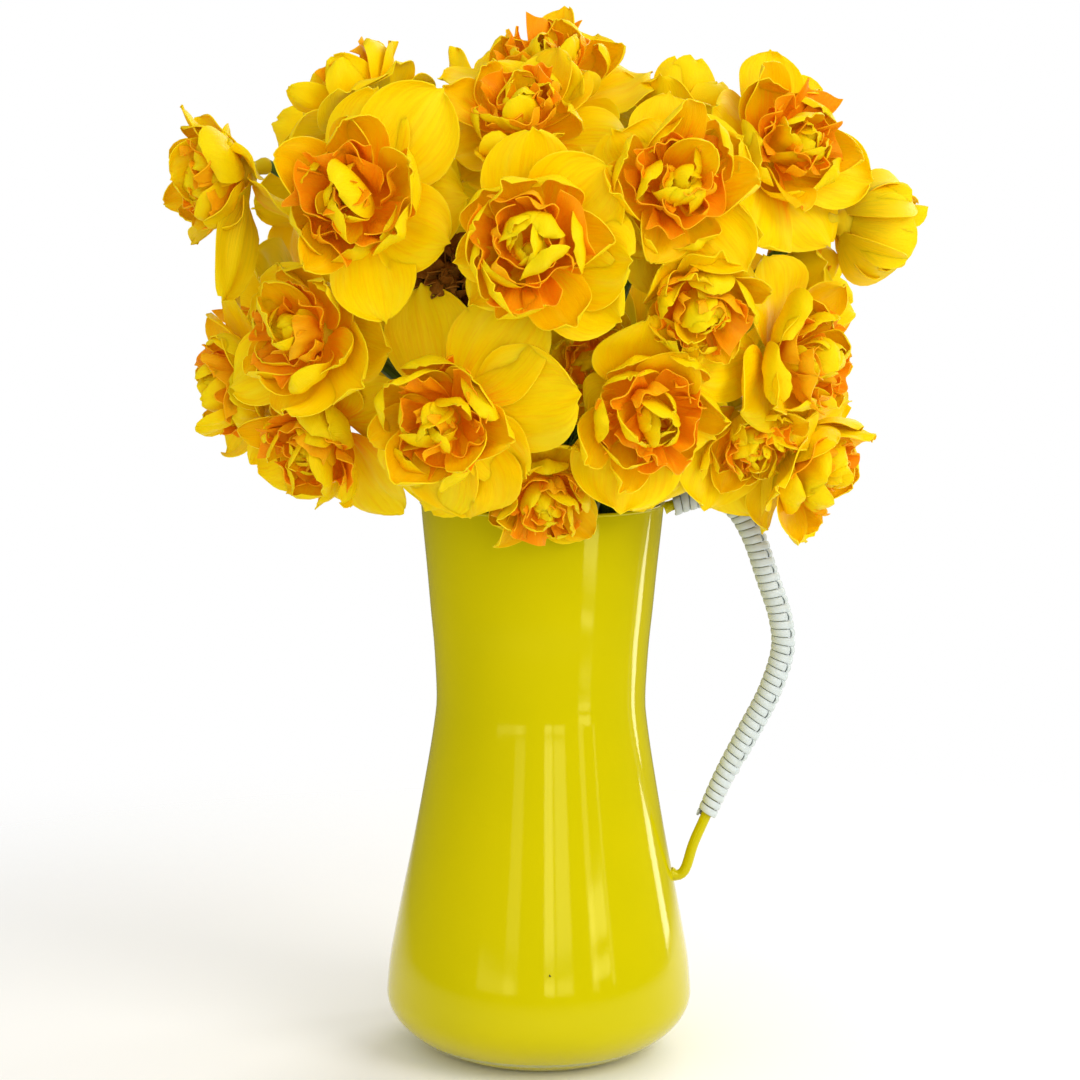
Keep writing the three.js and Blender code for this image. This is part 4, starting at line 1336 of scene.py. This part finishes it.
@dataclass
class Flower:
    """A double daffodil: six broad tepals, whorls of spoon-shaped petals, and orange frills between."""
    bloom: Bloom
    index: int
    seat_radius: float = 6.4
    cup_height: float = 10.6
    collar_radius: float = 5.2
    thickness: float = 0.44
    near_enough: float = 0.06  # from a packed corner
    squeezed: Point = (-26, 0.86, 0)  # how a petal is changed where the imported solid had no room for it
    shut_width: float = 1.25  # the width of closed tepals, as a share
    shut_calm: float = 0.3
    shut_spread: float = 0.4
    shut_flare: float = 0.3  # how far the tips inside closed tepals lean out, as a share
    withered_calm: Pair = (2.4, 2.0)
    withered_length: float = 0.7  # as a share of a fresh petal's
    yellow: list[Petal] = field(default_factory=list)
    orange: list[Petal] = field(default_factory=list)

    def __post_init__(self) -> None:
        """Grows all petals."""
        bloom = self.bloom
        self.nodes = [bloom.name] if bloom.plain else [bloom.name + "_petals", bloom.name + "_frills"]
        self.draw = random.Random(self.index * 131 + 7)
        packed = [self._tree(node) for node in self.nodes]
        self.yellow += self._kept(self._hearts(), packed[0], SMALL_ROWS)
        self.yellow += self._kept(self._middles(), packed[0], SMALL_ROWS if bloom.plain else TEPAL_ROWS)
        self.yellow += [self._loose(petal) for petal in self._kept(self._tepals(), packed[0], TEPAL_ROWS)]
        if not bloom.plain:
            self.orange += self._kept(self._frills(), packed[1], (), flared=True)
        for ring in YELLOW_RINGS:
            self.yellow += self._ring(ring)
        for ring in ORANGE_RINGS:
            self.orange += self._ring(ring)
        if bloom.withered:
            self.yellow, self.orange = (
                [replace(petal, calm=calm, length=petal.length * self.withered_length) for petal in petals]
                for petals, calm in zip((self.yellow, self.orange), self.withered_calm))

    def _tree(self, node: str) -> KDTree:
        """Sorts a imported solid's corners by place.

        Args:
            node: its name.

        Returns:
            The corners, in millimetres, for finding the nearest.
        """
        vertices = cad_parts[node].data.vertices
        tree = KDTree(len(vertices))
        for i, vertex in enumerate(vertices):
            tree.insert(vertex.co / MM, i)
        tree.balance()
        return tree

    def _kept(self, petals: list[Petal], tree: KDTree, rows: tuple[float, ...],
              flared: bool = False) -> list[Petal]:
        """The petals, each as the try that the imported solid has, or squeezed where it has none.

        Args:
            petals: the petals before any try.
            tree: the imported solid's corners.
            rows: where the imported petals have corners.
            flared: whether they end in an edge.

        Returns:
            The changed petals.
        """
        axes, seat = self.bloom.axes(), self.bloom.seat()
        kept = []
        for petal in petals:
            for change in TRIES:
                tried = petal.tried(*change)
                spot = axes @ np.array(tried.mark(rows, flared)) + seat
                if tree.find(spot)[2] < self.near_enough:
                    kept.append(tried)
                    break
            else:
                kept.append(petal.tried(*self.squeezed))
        return kept

    def _loose(self, petal: Petal) -> Petal:
        """A tepal as it stands in the photo.

        Args:
            petal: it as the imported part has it.

        Returns:
            The moved tepal.
        """
        number = petal.seed % 100
        bend_by, share, swing, width, twist = LOOSE.get((self.bloom.name, number), (0, 1, 0, 1, 0))
        moved = petal.tried(bend_by, share, swing)
        moved = replace(moved, width=petal.width * width, twist=math.radians(twist))
        root, tip, length = self.bloom.shut
        if not length:
            return moved
        return replace(moved, kind=Kind.SPOON, tilts=(math.radians(root), math.radians(tip)),
                       length=moved.length * length, width=moved.width * self.shut_width,
                       calm=self.shut_calm)

    def _side_root(self, side: float, sides: int, radius: float, height: float) -> Point:
        """The middle of a side of a many-sided post.

        Args:
            side: the side's number.
            sides: how many there are.
            radius: of the post's corners.
            height: where on the post.

        Returns:
            The point in the bloom's own axes.
        """
        angle, inner = side / sides * FULL_TURN, radius * math.cos(math.pi / sides)
        return (inner * math.cos(angle), inner * math.sin(angle), height)

    def _tepals(self) -> list[Petal]:
        """The six broad outer petals.

        Returns:
            They, with every second one in front of its neighbours.
        """
        bloom, index = self.bloom, self.index
        reach = bloom.reach or bloom.width / 2
        up = bloom.axes()[2]
        petals = []
        for side in range(6):
            front = side % 2
            turn = side / 6 * FULL_TURN + (chance(index, side, 1) - 0.5) * 0.16
            fall = max(0, float(math.cos(turn) * up[0] + math.sin(turn) * up[1])) * bloom.nod
            spread = math.radians(38 + 52 * bloom.open + (chance(index, side, 2) - 0.5) * 18 - fall)
            petals.append(Petal(
                Kind.TEPAL, self._side_root(side, 6, self.seat_radius, -1.2 if front else -3), turn,
                (reach - self.seat_radius) * (1.06 + 0.12 * chance(index, side, 6)),
                (0.8 if front else 0.92) * reach, (spread * (0.84 if front else 0.96), spread * 1.06),
                0.14 if front else -0.04, index * 100 + side,
                lift=((chance(index, side, 4) - 0.5) * 4, (chance(index, side, 5) - 0.5) * 4)))
        return petals

    def _inner(self, kind: Kind, layer: int, side: int, turn: float, length: float, width: float,
               tilts: Pair, cup: float, root: Point, root_half: float) -> Petal:
        """A petal of an inner ring, with its turn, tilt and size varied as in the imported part.

        Args:
            kind: its kind.
            layer: the number that sets its ring apart.
            side: its number in the ring.
            turn: where it stands round the bloom's axis.
            length: its length before it is varied.
            width: its width before it is varied.
            tilts: degrees that it leans out at its root and at its tip.
            cup: how far its edges stand up.
            root: where it grows.
            root_half: half of its width at the root.

        Returns:
            The petal.
        """
        index = self.index
        lean = (chance(index, side, layer + 1) - 0.5) * 0.2
        return Petal(
            kind, root, turn + (chance(index, side, layer) - 0.5) * 0.2,
            length * (0.9 + 0.2 * chance(index, side, layer + 2)),
            width * (0.85 + 0.3 * chance(index, side, layer + 3)),
            (math.radians(tilts[0]) + lean, math.radians(tilts[1]) + lean), cup,
            index * 100 + layer + side, root_half)

    def _middles(self) -> list[Petal]:
        """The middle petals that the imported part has."""
        size, tilts = self.bloom.size, (76 * self.bloom.spread, 12)
        return [self._inner(
            Kind.SPOON, 10, side, (side + 0.4 + (side - 2) * 0.12) / 6 * FULL_TURN, 31 * size, 22 * size,
            tilts, 0.3, self._side_root(side, 6, self.seat_radius, 1), 2) for side in range(5)]

    def _frills(self) -> list[Petal]:
        """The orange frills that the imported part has."""
        size, tilts = self.bloom.size, (54 * self.bloom.spread, 18)
        return [self._inner(
            Kind.FRILL, 30, side, side / 5 * FULL_TURN, 23 * size, 15 * size, tilts, 0.3,
            self._side_root(side, 5, self.collar_radius, 5.5), 1.8) for side in range(5)]

    def _hearts(self) -> list[Petal]:
        """The petals on the cup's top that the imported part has.

        Returns:
            The three of them.
        """
        size, radius = self.bloom.size, 2.1
        petals = []
        for side in range(3):
            turn = (side + 0.25) / 3 * FULL_TURN
            root = (radius * math.cos(turn), radius * math.sin(turn), self.cup_height)
            petals.append(self._inner(
                Kind.HEART, 20, side, turn, 18 * size, 11 * size, (40, -24), 0.4, root, 1.3))
        return petals

    def _ring(self, ring: Ring) -> list[Petal]:
        """Draws the petals of a ring.

        Args:
            ring: its limits.

        Returns:
            Its petals.
        """
        size, pick = self.bloom.size, self.draw.uniform
        shut = bool(self.bloom.shut[2])
        spread, flare = (self.shut_spread, self.shut_flare) if shut else (self.bloom.spread, 1)
        petals = []
        for side in range(ring.count):
            place = (side + ring.first + pick(-0.22, 0.22)) / ring.count * FULL_TURN
            root = (ring.radius * math.cos(place), ring.radius * math.sin(place),
                    ring.height + pick(-0.8, 0.8))
            petals.append(Petal(
                ring.kind, root, place + pick(-0.3, 0.3), pick(*ring.length) * size, pick(*ring.width) * size,
                (math.radians(pick(*ring.root_tilt)) * spread, math.radians(pick(*ring.tip_tilt)) * flare),
                pick(*ring.cup), self.draw.randrange(10 ** 6), ring.root_half))
        return petals

    def _sheet(self, blanks: dict[Kind, bpy.types.Object], petal: Petal) -> bpy.types.Object:
        """Bends one petal.

        Args:
            blanks: the flat sheet of each kind.
            petal: the petal.

        Returns:
            A bent copy of its kind's sheet, with what the material reads.
        """
        piece = copy_of(blanks[petal.kind])
        axes, seat = self.bloom.axes(), self.bloom.seat()
        bend(piece, lambda u, v: (petal.points(u, v) @ axes.T + seat) * MM)
        draw = random.Random(petal.seed + 5)
        carry(piece, "tint", draw.random())
        carry(piece, "flush", draw.uniform(*petal.kind.form.flush))
        carry(piece, "green", float(petal.kind is Kind.TEPAL or petal.calm < 1))
        return piece

    def _thick(self, name: str, sheets: list[bpy.types.Object]) -> bpy.types.Object:
        """Joins sheets and gives them their thickness, with the new side marked as the back.

        Args:
            name: the new object's name.
            sheets: the petals.

        Returns:
            The joined object.
        """
        piece = join(name, sheets)
        count = len(piece.data.vertices)
        wall = piece.modifiers.new("thickness", "SOLIDIFY")
        wall.thickness = self.thickness * MM
        wall.offset = -1
        wall.use_even_offset = False
        bpy.ops.object.modifier_apply(modifier=wall.name)
        back = np.zeros(len(piece.data.vertices))
        back[count:] = 1
        carry(piece, "back", back)
        return piece

    def _tube(self, blank: bpy.types.Object) -> bpy.types.Object:
        """Places the flower's tube with the swelling behind it.

        Args:
            blank: the tube, upright on the jug's axis.

        Returns:
            A placed copy.
        """
        piece = copy_of(blank)
        points = corners_of(piece)
        height = points[:, 2] / MM
        move_to(piece, points @ self.bloom.axes().T + self.bloom.seat() * MM)
        carry(piece, "back", smooth(-height, -9, -4))
        carry(piece, "tint", self.draw.random())
        carry(piece, "flush", 0.4)
        carry(piece, "green", 1.0)
        return piece

    def build(self, blanks: dict[Kind, bpy.types.Object], tube: bpy.types.Object,
              finishes: dict[str, bpy.types.Material]) -> None:
        """Makes the bloom's yellow and orange pieces.

        Args:
            blanks: the flat sheet of each kind of petal.
            tube: the flower's tube, upright on the jug's axis.
            finishes: the material of each slot.
        """
        rosette, crown = self.bloom.name + "_rosette", self.bloom.name + "_crown"
        yellow = self._thick(rosette, [self._sheet(blanks, petal) for petal in self.yellow])
        yellow = join(rosette, [yellow, self._tube(tube)])
        orange = self._thick(crown, [self._sheet(blanks, petal) for petal in self.orange])
        slots = ("withered", "withered") if self.bloom.withered else ("petal", "frill")
        for piece, slot, nodes in zip((yellow, orange), slots, (self.nodes[:1], self.nodes[1:])):
            soften(piece, 75)
            hand_over(piece, finishes[slot], slot, *nodes)


@dataclass
class Flowers:
    """All blooms of the bunch."""
    tube: tuple[Pair, ...] = (
        (0, -12.4), (2.5, -12.4), (3.3, -11.4), (3.6, -9.6), (3.1, -7.6), (2.9, -6.4), (3.8, -5.2),
        (5.4, -4.2), (6.3, -2.6), (6.4, 0.4), (5.8, 2.6), (4.4, 4.4), (3.6, 7), (3.8, 9.2), (3.4, 10.8),
        (2.2, 11.5), (0, 11.7))

    def build(self, finishes: dict[str, bpy.types.Material]) -> None:
        """Makes the flat blanks and the tube once, and every bloom from them.

        Args:
            finishes: the material of each slot.
        """
        blanks = {kind: grid(kind.form.across, kind.form.along) for kind in Kind}
        tube = turned("tube_blank", list(self.tube), 14)
        tube.data.uv_layers.new(name="UVMap")
        for index, bloom in enumerate(BLOOMS):
            flower = Flower(bloom, index)
            LOG.info("%s: %d yellow and %d orange petals", bloom.name, len(flower.yellow), len(flower.orange))
            flower.build(blanks, tube, finishes)
        for blank in (*blanks.values(), tube):
            bpy.data.objects.remove(blank)


# Stems and water


@dataclass
class Stems:
    """The round stems, pressed together in the jug's waist, each bent at its neck behind its bloom."""
    radius: float = 2.7
    pitch: float = 6.6  # from stem to stem in the waist
    spread: float = 1.7  # how much wider than in the waist they stand at their feet
    fan: float = 2.0  # and in the mouth
    foot: float = 6.0
    rim_height: float = 241.0
    bundle_height: float = 152.0  # of the waist
    bundle_reach: float = 30.0
    rounds: int = 300  # in which they settle in the waist
    gather: float = 0.998  # how far each round draws them together
    neck: float = 20.0  # from the bend to the bloom's cup
    socket: Pair = (13.0, 11.6)  # where the stem enters the tube, behind the cup

    def _waist_places(self) -> list[Array]:
        """Each stem's place in the waist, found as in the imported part.

        Returns:
            The places from the axis.
        """
        places = []
        for bloom in BLOOMS:
            x, y, z = bloom.at
            lean = math.atan2(math.hypot(x, y), z - self.rim_height + 60) / (math.pi / 2)
            places.append(np.array([x, y], float) / math.hypot(x, y) * self.bundle_reach * lean)
        for _ in range(self.rounds):
            for one in places:
                for other in places:
                    if one is other:
                        continue
                    apart = other - one
                    gone = math.hypot(*apart)
                    if gone < self.pitch:
                        push = apart / gone * (self.pitch - gone) / 2
                        one -= push
                        other += push
            for one in places:
                one *= self.gather
        return places

    def _route(self, bloom: Bloom, place: Array) -> Route:
        """A stem's line from its foot up through the waist and the mouth to its bloom.

        Args:
            bloom: the bloom that it carries.
            place: its place in the waist.

        Returns:
            The line.
        """
        seat, forward = bloom.seat(), bloom.forward()
        low = max(0.0, 1 - (bloom.at[2] - self.rim_height) / 60)
        mouth = np.array([*(place * self.fan), self.rim_height + 12 + 16 * low])
        turn = seat - forward * self.neck
        points = [
            np.array([*(place * self.spread), self.foot]), np.array([*place, self.bundle_height]), mouth,
            turn + (mouth - turn) * 0.16, *(seat - forward * depth for depth in self.socket)]
        return Route(np.array(points) * MM, (1, 0.2, 0), 160)

    def build(self, stem: bpy.types.Material) -> None:
        """Sweeps every stem and joins them.

        Args:
            stem: their material.
        """
        rods = []
        for index, (bloom, place) in enumerate(zip(BLOOMS, self._waist_places())):
            route = self._route(bloom, place)
            draw = random.Random(index + 400)
            ridge, wobble = draw.uniform(0, FULL_TURN), draw.uniform(0, FULL_TURN)

            def swept(across: Array, along: Array) -> Array:
                """The stem's skin, faintly ribbed, and wider towards its foot.

                Args:
                    across: shares of the way round the stem.
                    along: shares of the way along it.

                Returns:
                    The points.
                """
                angle = across * FULL_TURN
                ribs = 1 + 0.05 * np.cos(angle * 6 + ridge) + 0.03 * np.sin(along * 21 + wobble)
                return route.around(along, angle, self.radius * MM * ribs * (1.06 - 0.12 * along))

            rod = close_up(bend(grid(12, 44), swept))
            carry(rod, "tint", draw.random())
            rods.append(rod)
        piece = join("stem_bunch", rods)
        soften(piece, 50)
        hand_over(piece, stem, "stem", "stems")


@dataclass
class Water:
    """The water in the jug, which climbs a little where it meets the wall."""
    level: float = 112.0
    bottom: float = 1.8
    side: tuple[Pair, ...] = (
        (38.6, 1.8), (46, 3.0), (54, 6.4), (60.5, 12), (63.6, 20), (64.4, 28), (63.3, 40), (60.8, 53.5),
        (58.5, 67), (55.5, 80.4), (52.6, 94), (50.1, 108))

    def build(self, water: bpy.types.Material) -> None:
        """Spins the water and dresses it.

        Args:
            water: its material.
        """
        last = self.side[-1][0]
        climb = [(last - 0.4, self.level + 0.9), (last - 1.0, self.level + 0.3), (last - 2.6, self.level)]
        rings = [(last * share, self.level) for share in (0.8, 0.6, 0.4, 0.2)]
        outline = [(0, self.bottom), (20, self.bottom), *self.side, *climb, *rings, (0, self.level)]
        piece = turned("jug_water", outline, 96)
        soften(piece, 40)
        hand_over(piece, water, "water", "water")


# Studio


@dataclass(frozen=True)
class Window:
    """A tall window of the room, seen as a streak in the enamel. In degrees and metres."""
    azimuth: float  # from the front
    width: float
    top: float = 1.2
    sill: float = 0.01
    glare: float = 10.0  # watts for a square metre
    distance: float = 2.2
    bars: tuple[Pair, ...] = ((0.19, 0.24),)  # the glazing bars between its panes

    def panes(self) -> list[Pair]:
        """The window's panes.

        Returns:
            The lower and upper edge of each.
        """
        edges = [self.sill, *(edge for bar in self.bars for edge in bar), self.top]
        return [(low, high) for low, high in zip(edges[::2], edges[1::2]) if high > low]


@dataclass(frozen=True)
class Lamp:
    """A square soft light that points at the bunch. In metres and watts."""
    name: str
    place: Point
    size: float
    power: float
    colour: Point
    mirrored: bool = True  # whether the enamel shows it


@dataclass
class Studio:
    """Pale floor, soft light, and the camera as the photograph was taken."""
    distance: float = 1.150
    height: float = 0.3733
    pitch: float = 7.434
    roll: float = 0.43
    focal: float = 89.853
    shift: float = -0.002
    floor_radius: float = 1.7
    floor_fade: Pair = (0.24, 0.64)  # where it starts to fade out, and where it is gone
    aim: Point = (0.0, 0.0, 0.28)
    lamps: tuple[Lamp, ...] = (
        Lamp("key", (1.42, -1.3, 1.45), 1.2, 19.5, (1.0, 0.97, 0.92)),
        Lamp("fill", (-1.9, -1.2, 0.9), 1.6, 5.0, (1.0, 0.98, 0.94), mirrored=False),
        Lamp("rim", (0.9, 1.7, 1.5), 1.4, 18.0, (1.0, 1.0, 1.0)))
    windows: tuple[Window, ...] = (
        Window(8, 0.3, glare=13), Window(19.5, 0.46, glare=8), Window(43, 0.2, glare=6, bars=()),
        Window(58, 0.08, glare=6, bars=()), Window(-21, 0.4, glare=4),
        Window(-33, 1.1, top=0.19, glare=4, bars=()),
        Window(116, 0.07, top=0.46, glare=14, distance=0.46, bars=()),
        Window(46, 0.1, top=0.125, glare=12, distance=0.42, bars=((0.0, 0.06), (0.075, 0.09))))
    seen: tuple[Colour, float] = ((1, 1, 1, 1), 1.0)  # the room behind the object: colour and strength
    soft: tuple[Colour, float] = ((1, 0.99, 0.97, 1), 0.7)  # the room as a light
    dim: tuple[Colour, float] = ((1, 0.94, 0.42, 1), 0.26)  # the room in reflections

    def _camera(self) -> None:
        """Sets the camera."""
        data = bpy.data.cameras.new("camera")
        data.lens, data.sensor_width, data.shift_x = self.focal, 36.0, self.shift
        camera = bpy.data.objects.new("camera", data)
        bpy.context.scene.collection.objects.link(camera)
        tilt = Matrix.Rotation(math.radians(90 - self.pitch), 4, "X")
        roll = Matrix.Rotation(math.radians(self.roll), 4, "Z")
        camera.matrix_world = Matrix.Translation((0, -self.distance, self.height)) @ tilt @ roll
        bpy.context.scene.camera = camera

    def _area(self, name: str, place: Vector, aim: Vector, size: Pair, power: float, colour: Point,
              mirrored: bool = True) -> None:
        """Adds a rectangular soft light.

        Args:
            name: its name.
            place: where it hangs.
            aim: the place that it points at.
            size: its width and height.
            power: its power in watts.
            colour: its colour.
            mirrored: whether reflections show it.
        """
        data = bpy.data.lights.new(name, "AREA")
        data.shape, data.size, data.size_y = "RECTANGLE", *size
        data.energy, data.color = power, colour
        light = bpy.data.objects.new(name, data)
        light.visible_glossy = mirrored
        light.location = place
        light.rotation_euler = (aim - place).to_track_quat("-Z", "Y").to_euler()
        bpy.context.scene.collection.objects.link(light)

    def _lights(self) -> None:
        """Hangs the soft lights and the windows."""
        for lamp in self.lamps:
            self._area(lamp.name, Vector(lamp.place), Vector(self.aim), (lamp.size, lamp.size), lamp.power,
                       lamp.colour, lamp.mirrored)
        for number, window in enumerate(self.windows):
            turn = math.radians(window.azimuth)
            foot = Vector((math.sin(turn), -math.cos(turn), 0)) * window.distance
            for low, high in window.panes():
                height = Vector((0, 0, (low + high) / 2))
                size = (window.width, high - low)
                power = window.glare * size[0] * size[1]
                self._area(f"window_{number}", foot + height, height, size, power, (1.0, 1.0, 1.0))

    def _world(self) -> None:
        """Lights the room evenly and shows it white behind the object."""
        world = bpy.data.worlds.new("room")
        bpy.context.scene.world = world
        world.use_nodes = True
        tree = world.node_tree
        tree.nodes.clear()
        seen, soft, dim = (tree.nodes.new("ShaderNodeBackground") for _ in range(3))
        for node, (colour, strength) in zip((seen, soft, dim), (self.seen, self.soft, self.dim)):
            node.inputs["Color"].default_value, node.inputs["Strength"].default_value = colour, strength
        path, output = tree.nodes.new("ShaderNodeLightPath"), tree.nodes.new("ShaderNodeOutputWorld")
        mirrored, mix = (tree.nodes.new("ShaderNodeMixShader") for _ in range(2))
        tree.links.new(path.outputs["Is Glossy Ray"], mirrored.inputs[0])
        tree.links.new(soft.outputs[0], mirrored.inputs[1])
        tree.links.new(dim.outputs[0], mirrored.inputs[2])
        tree.links.new(path.outputs["Is Camera Ray"], mix.inputs[0])
        tree.links.new(mirrored.outputs[0], mix.inputs[1])
        tree.links.new(seen.outputs[0], mix.inputs[2])
        tree.links.new(mix.outputs[0], output.inputs["Surface"])

    def _floor(self) -> None:
        """Lays a pale round floor that fades out at its edge."""
        bpy.ops.object.select_all(action="DESELECT")
        bpy.ops.mesh.primitive_circle_add(vertices=96, radius=self.floor_radius, fill_type="NGON")
        floor = rename(bpy.context.object, "floor")
        shader = Shader("floor_paper")
        place = shader.own_place()
        mottle = shader.noise(place, 9.0, 2.0)
        colour = shader.mixed(mottle * 0.1, paint(246, 246, 244), paint(238, 238, 236))
        paper = shader.node("ShaderNodeBsdfDiffuse", {}, {"Color": colour})
        clear = shader.node("ShaderNodeBsdfTransparent")
        fade = shader.away(place, (0, 0, 0)).rise(*self.floor_fade)
        shader.node_out(shader.node("ShaderNodeMixShader", {}, {0: fade, 1: paper, 2: clear}))
        floor.data.materials.append(shader.material)

    def build(self) -> None:
        """Sets up everything round the object."""
        bpy.context.scene.view_settings.view_transform = "Standard"
        self._camera()
        self._lights()
        self._world()
        self._floor()


def main() -> None:
    """Builds the studio and the object."""
    logging.basicConfig(level=logging.INFO, format="%(name)s %(message)s")
    Studio().build()
    jug, handle = Jug(), Handle()
    enamel = EnamelFinish("enamel_yellow", chips=jug.chip_points()).make()
    # through: the colour of each petal finish's painted glow, which lifts the shade at the roots
    finishes = {
        "petal": PetalFinish(
            "petal_yellow", face=paint(253, 212, 0), deep=paint(248, 188, 0), pale=paint(255, 230, 44),
            flush=paint(255, 150, 4), back=paint(250, 212, 4), low_back=paint(204, 186, 14),
            gold=paint(230, 168, 0), rim=0.24, through=paint(78, 56, 0)).make(),
        "frill": PetalFinish(
            "petal_orange", face=paint(255, 172, 10), deep=paint(255, 146, 4), pale=paint(255, 198, 30),
            flush=paint(250, 114, 2), back=paint(255, 178, 12), low_back=paint(252, 150, 6),
            gold=paint(238, 128, 0), rim=0.12, through=paint(86, 48, 0)).make(),
        "withered": PetalFinish(
            "petal_withered", face=paint(150, 92, 22), deep=paint(92, 48, 8), pale=paint(190, 136, 52),
            flush=paint(70, 34, 6), back=paint(130, 80, 20), low_back=paint(84, 54, 12),
            gold=paint(92, 48, 8), roughness=0.75, veins=0.0004, glow=0.05, rim=0.3).make(),
    }
    jug.build(enamel)
    handle.build_bar(enamel)
    handle.build_cane(CaneFinish("cane_white").make())
    Water().build(WaterFinish("water_clear").make())
    Stems().build(StemFinish("stem_green").make())
    Flowers().build(finishes)


if __name__ == "__main__":
    main()
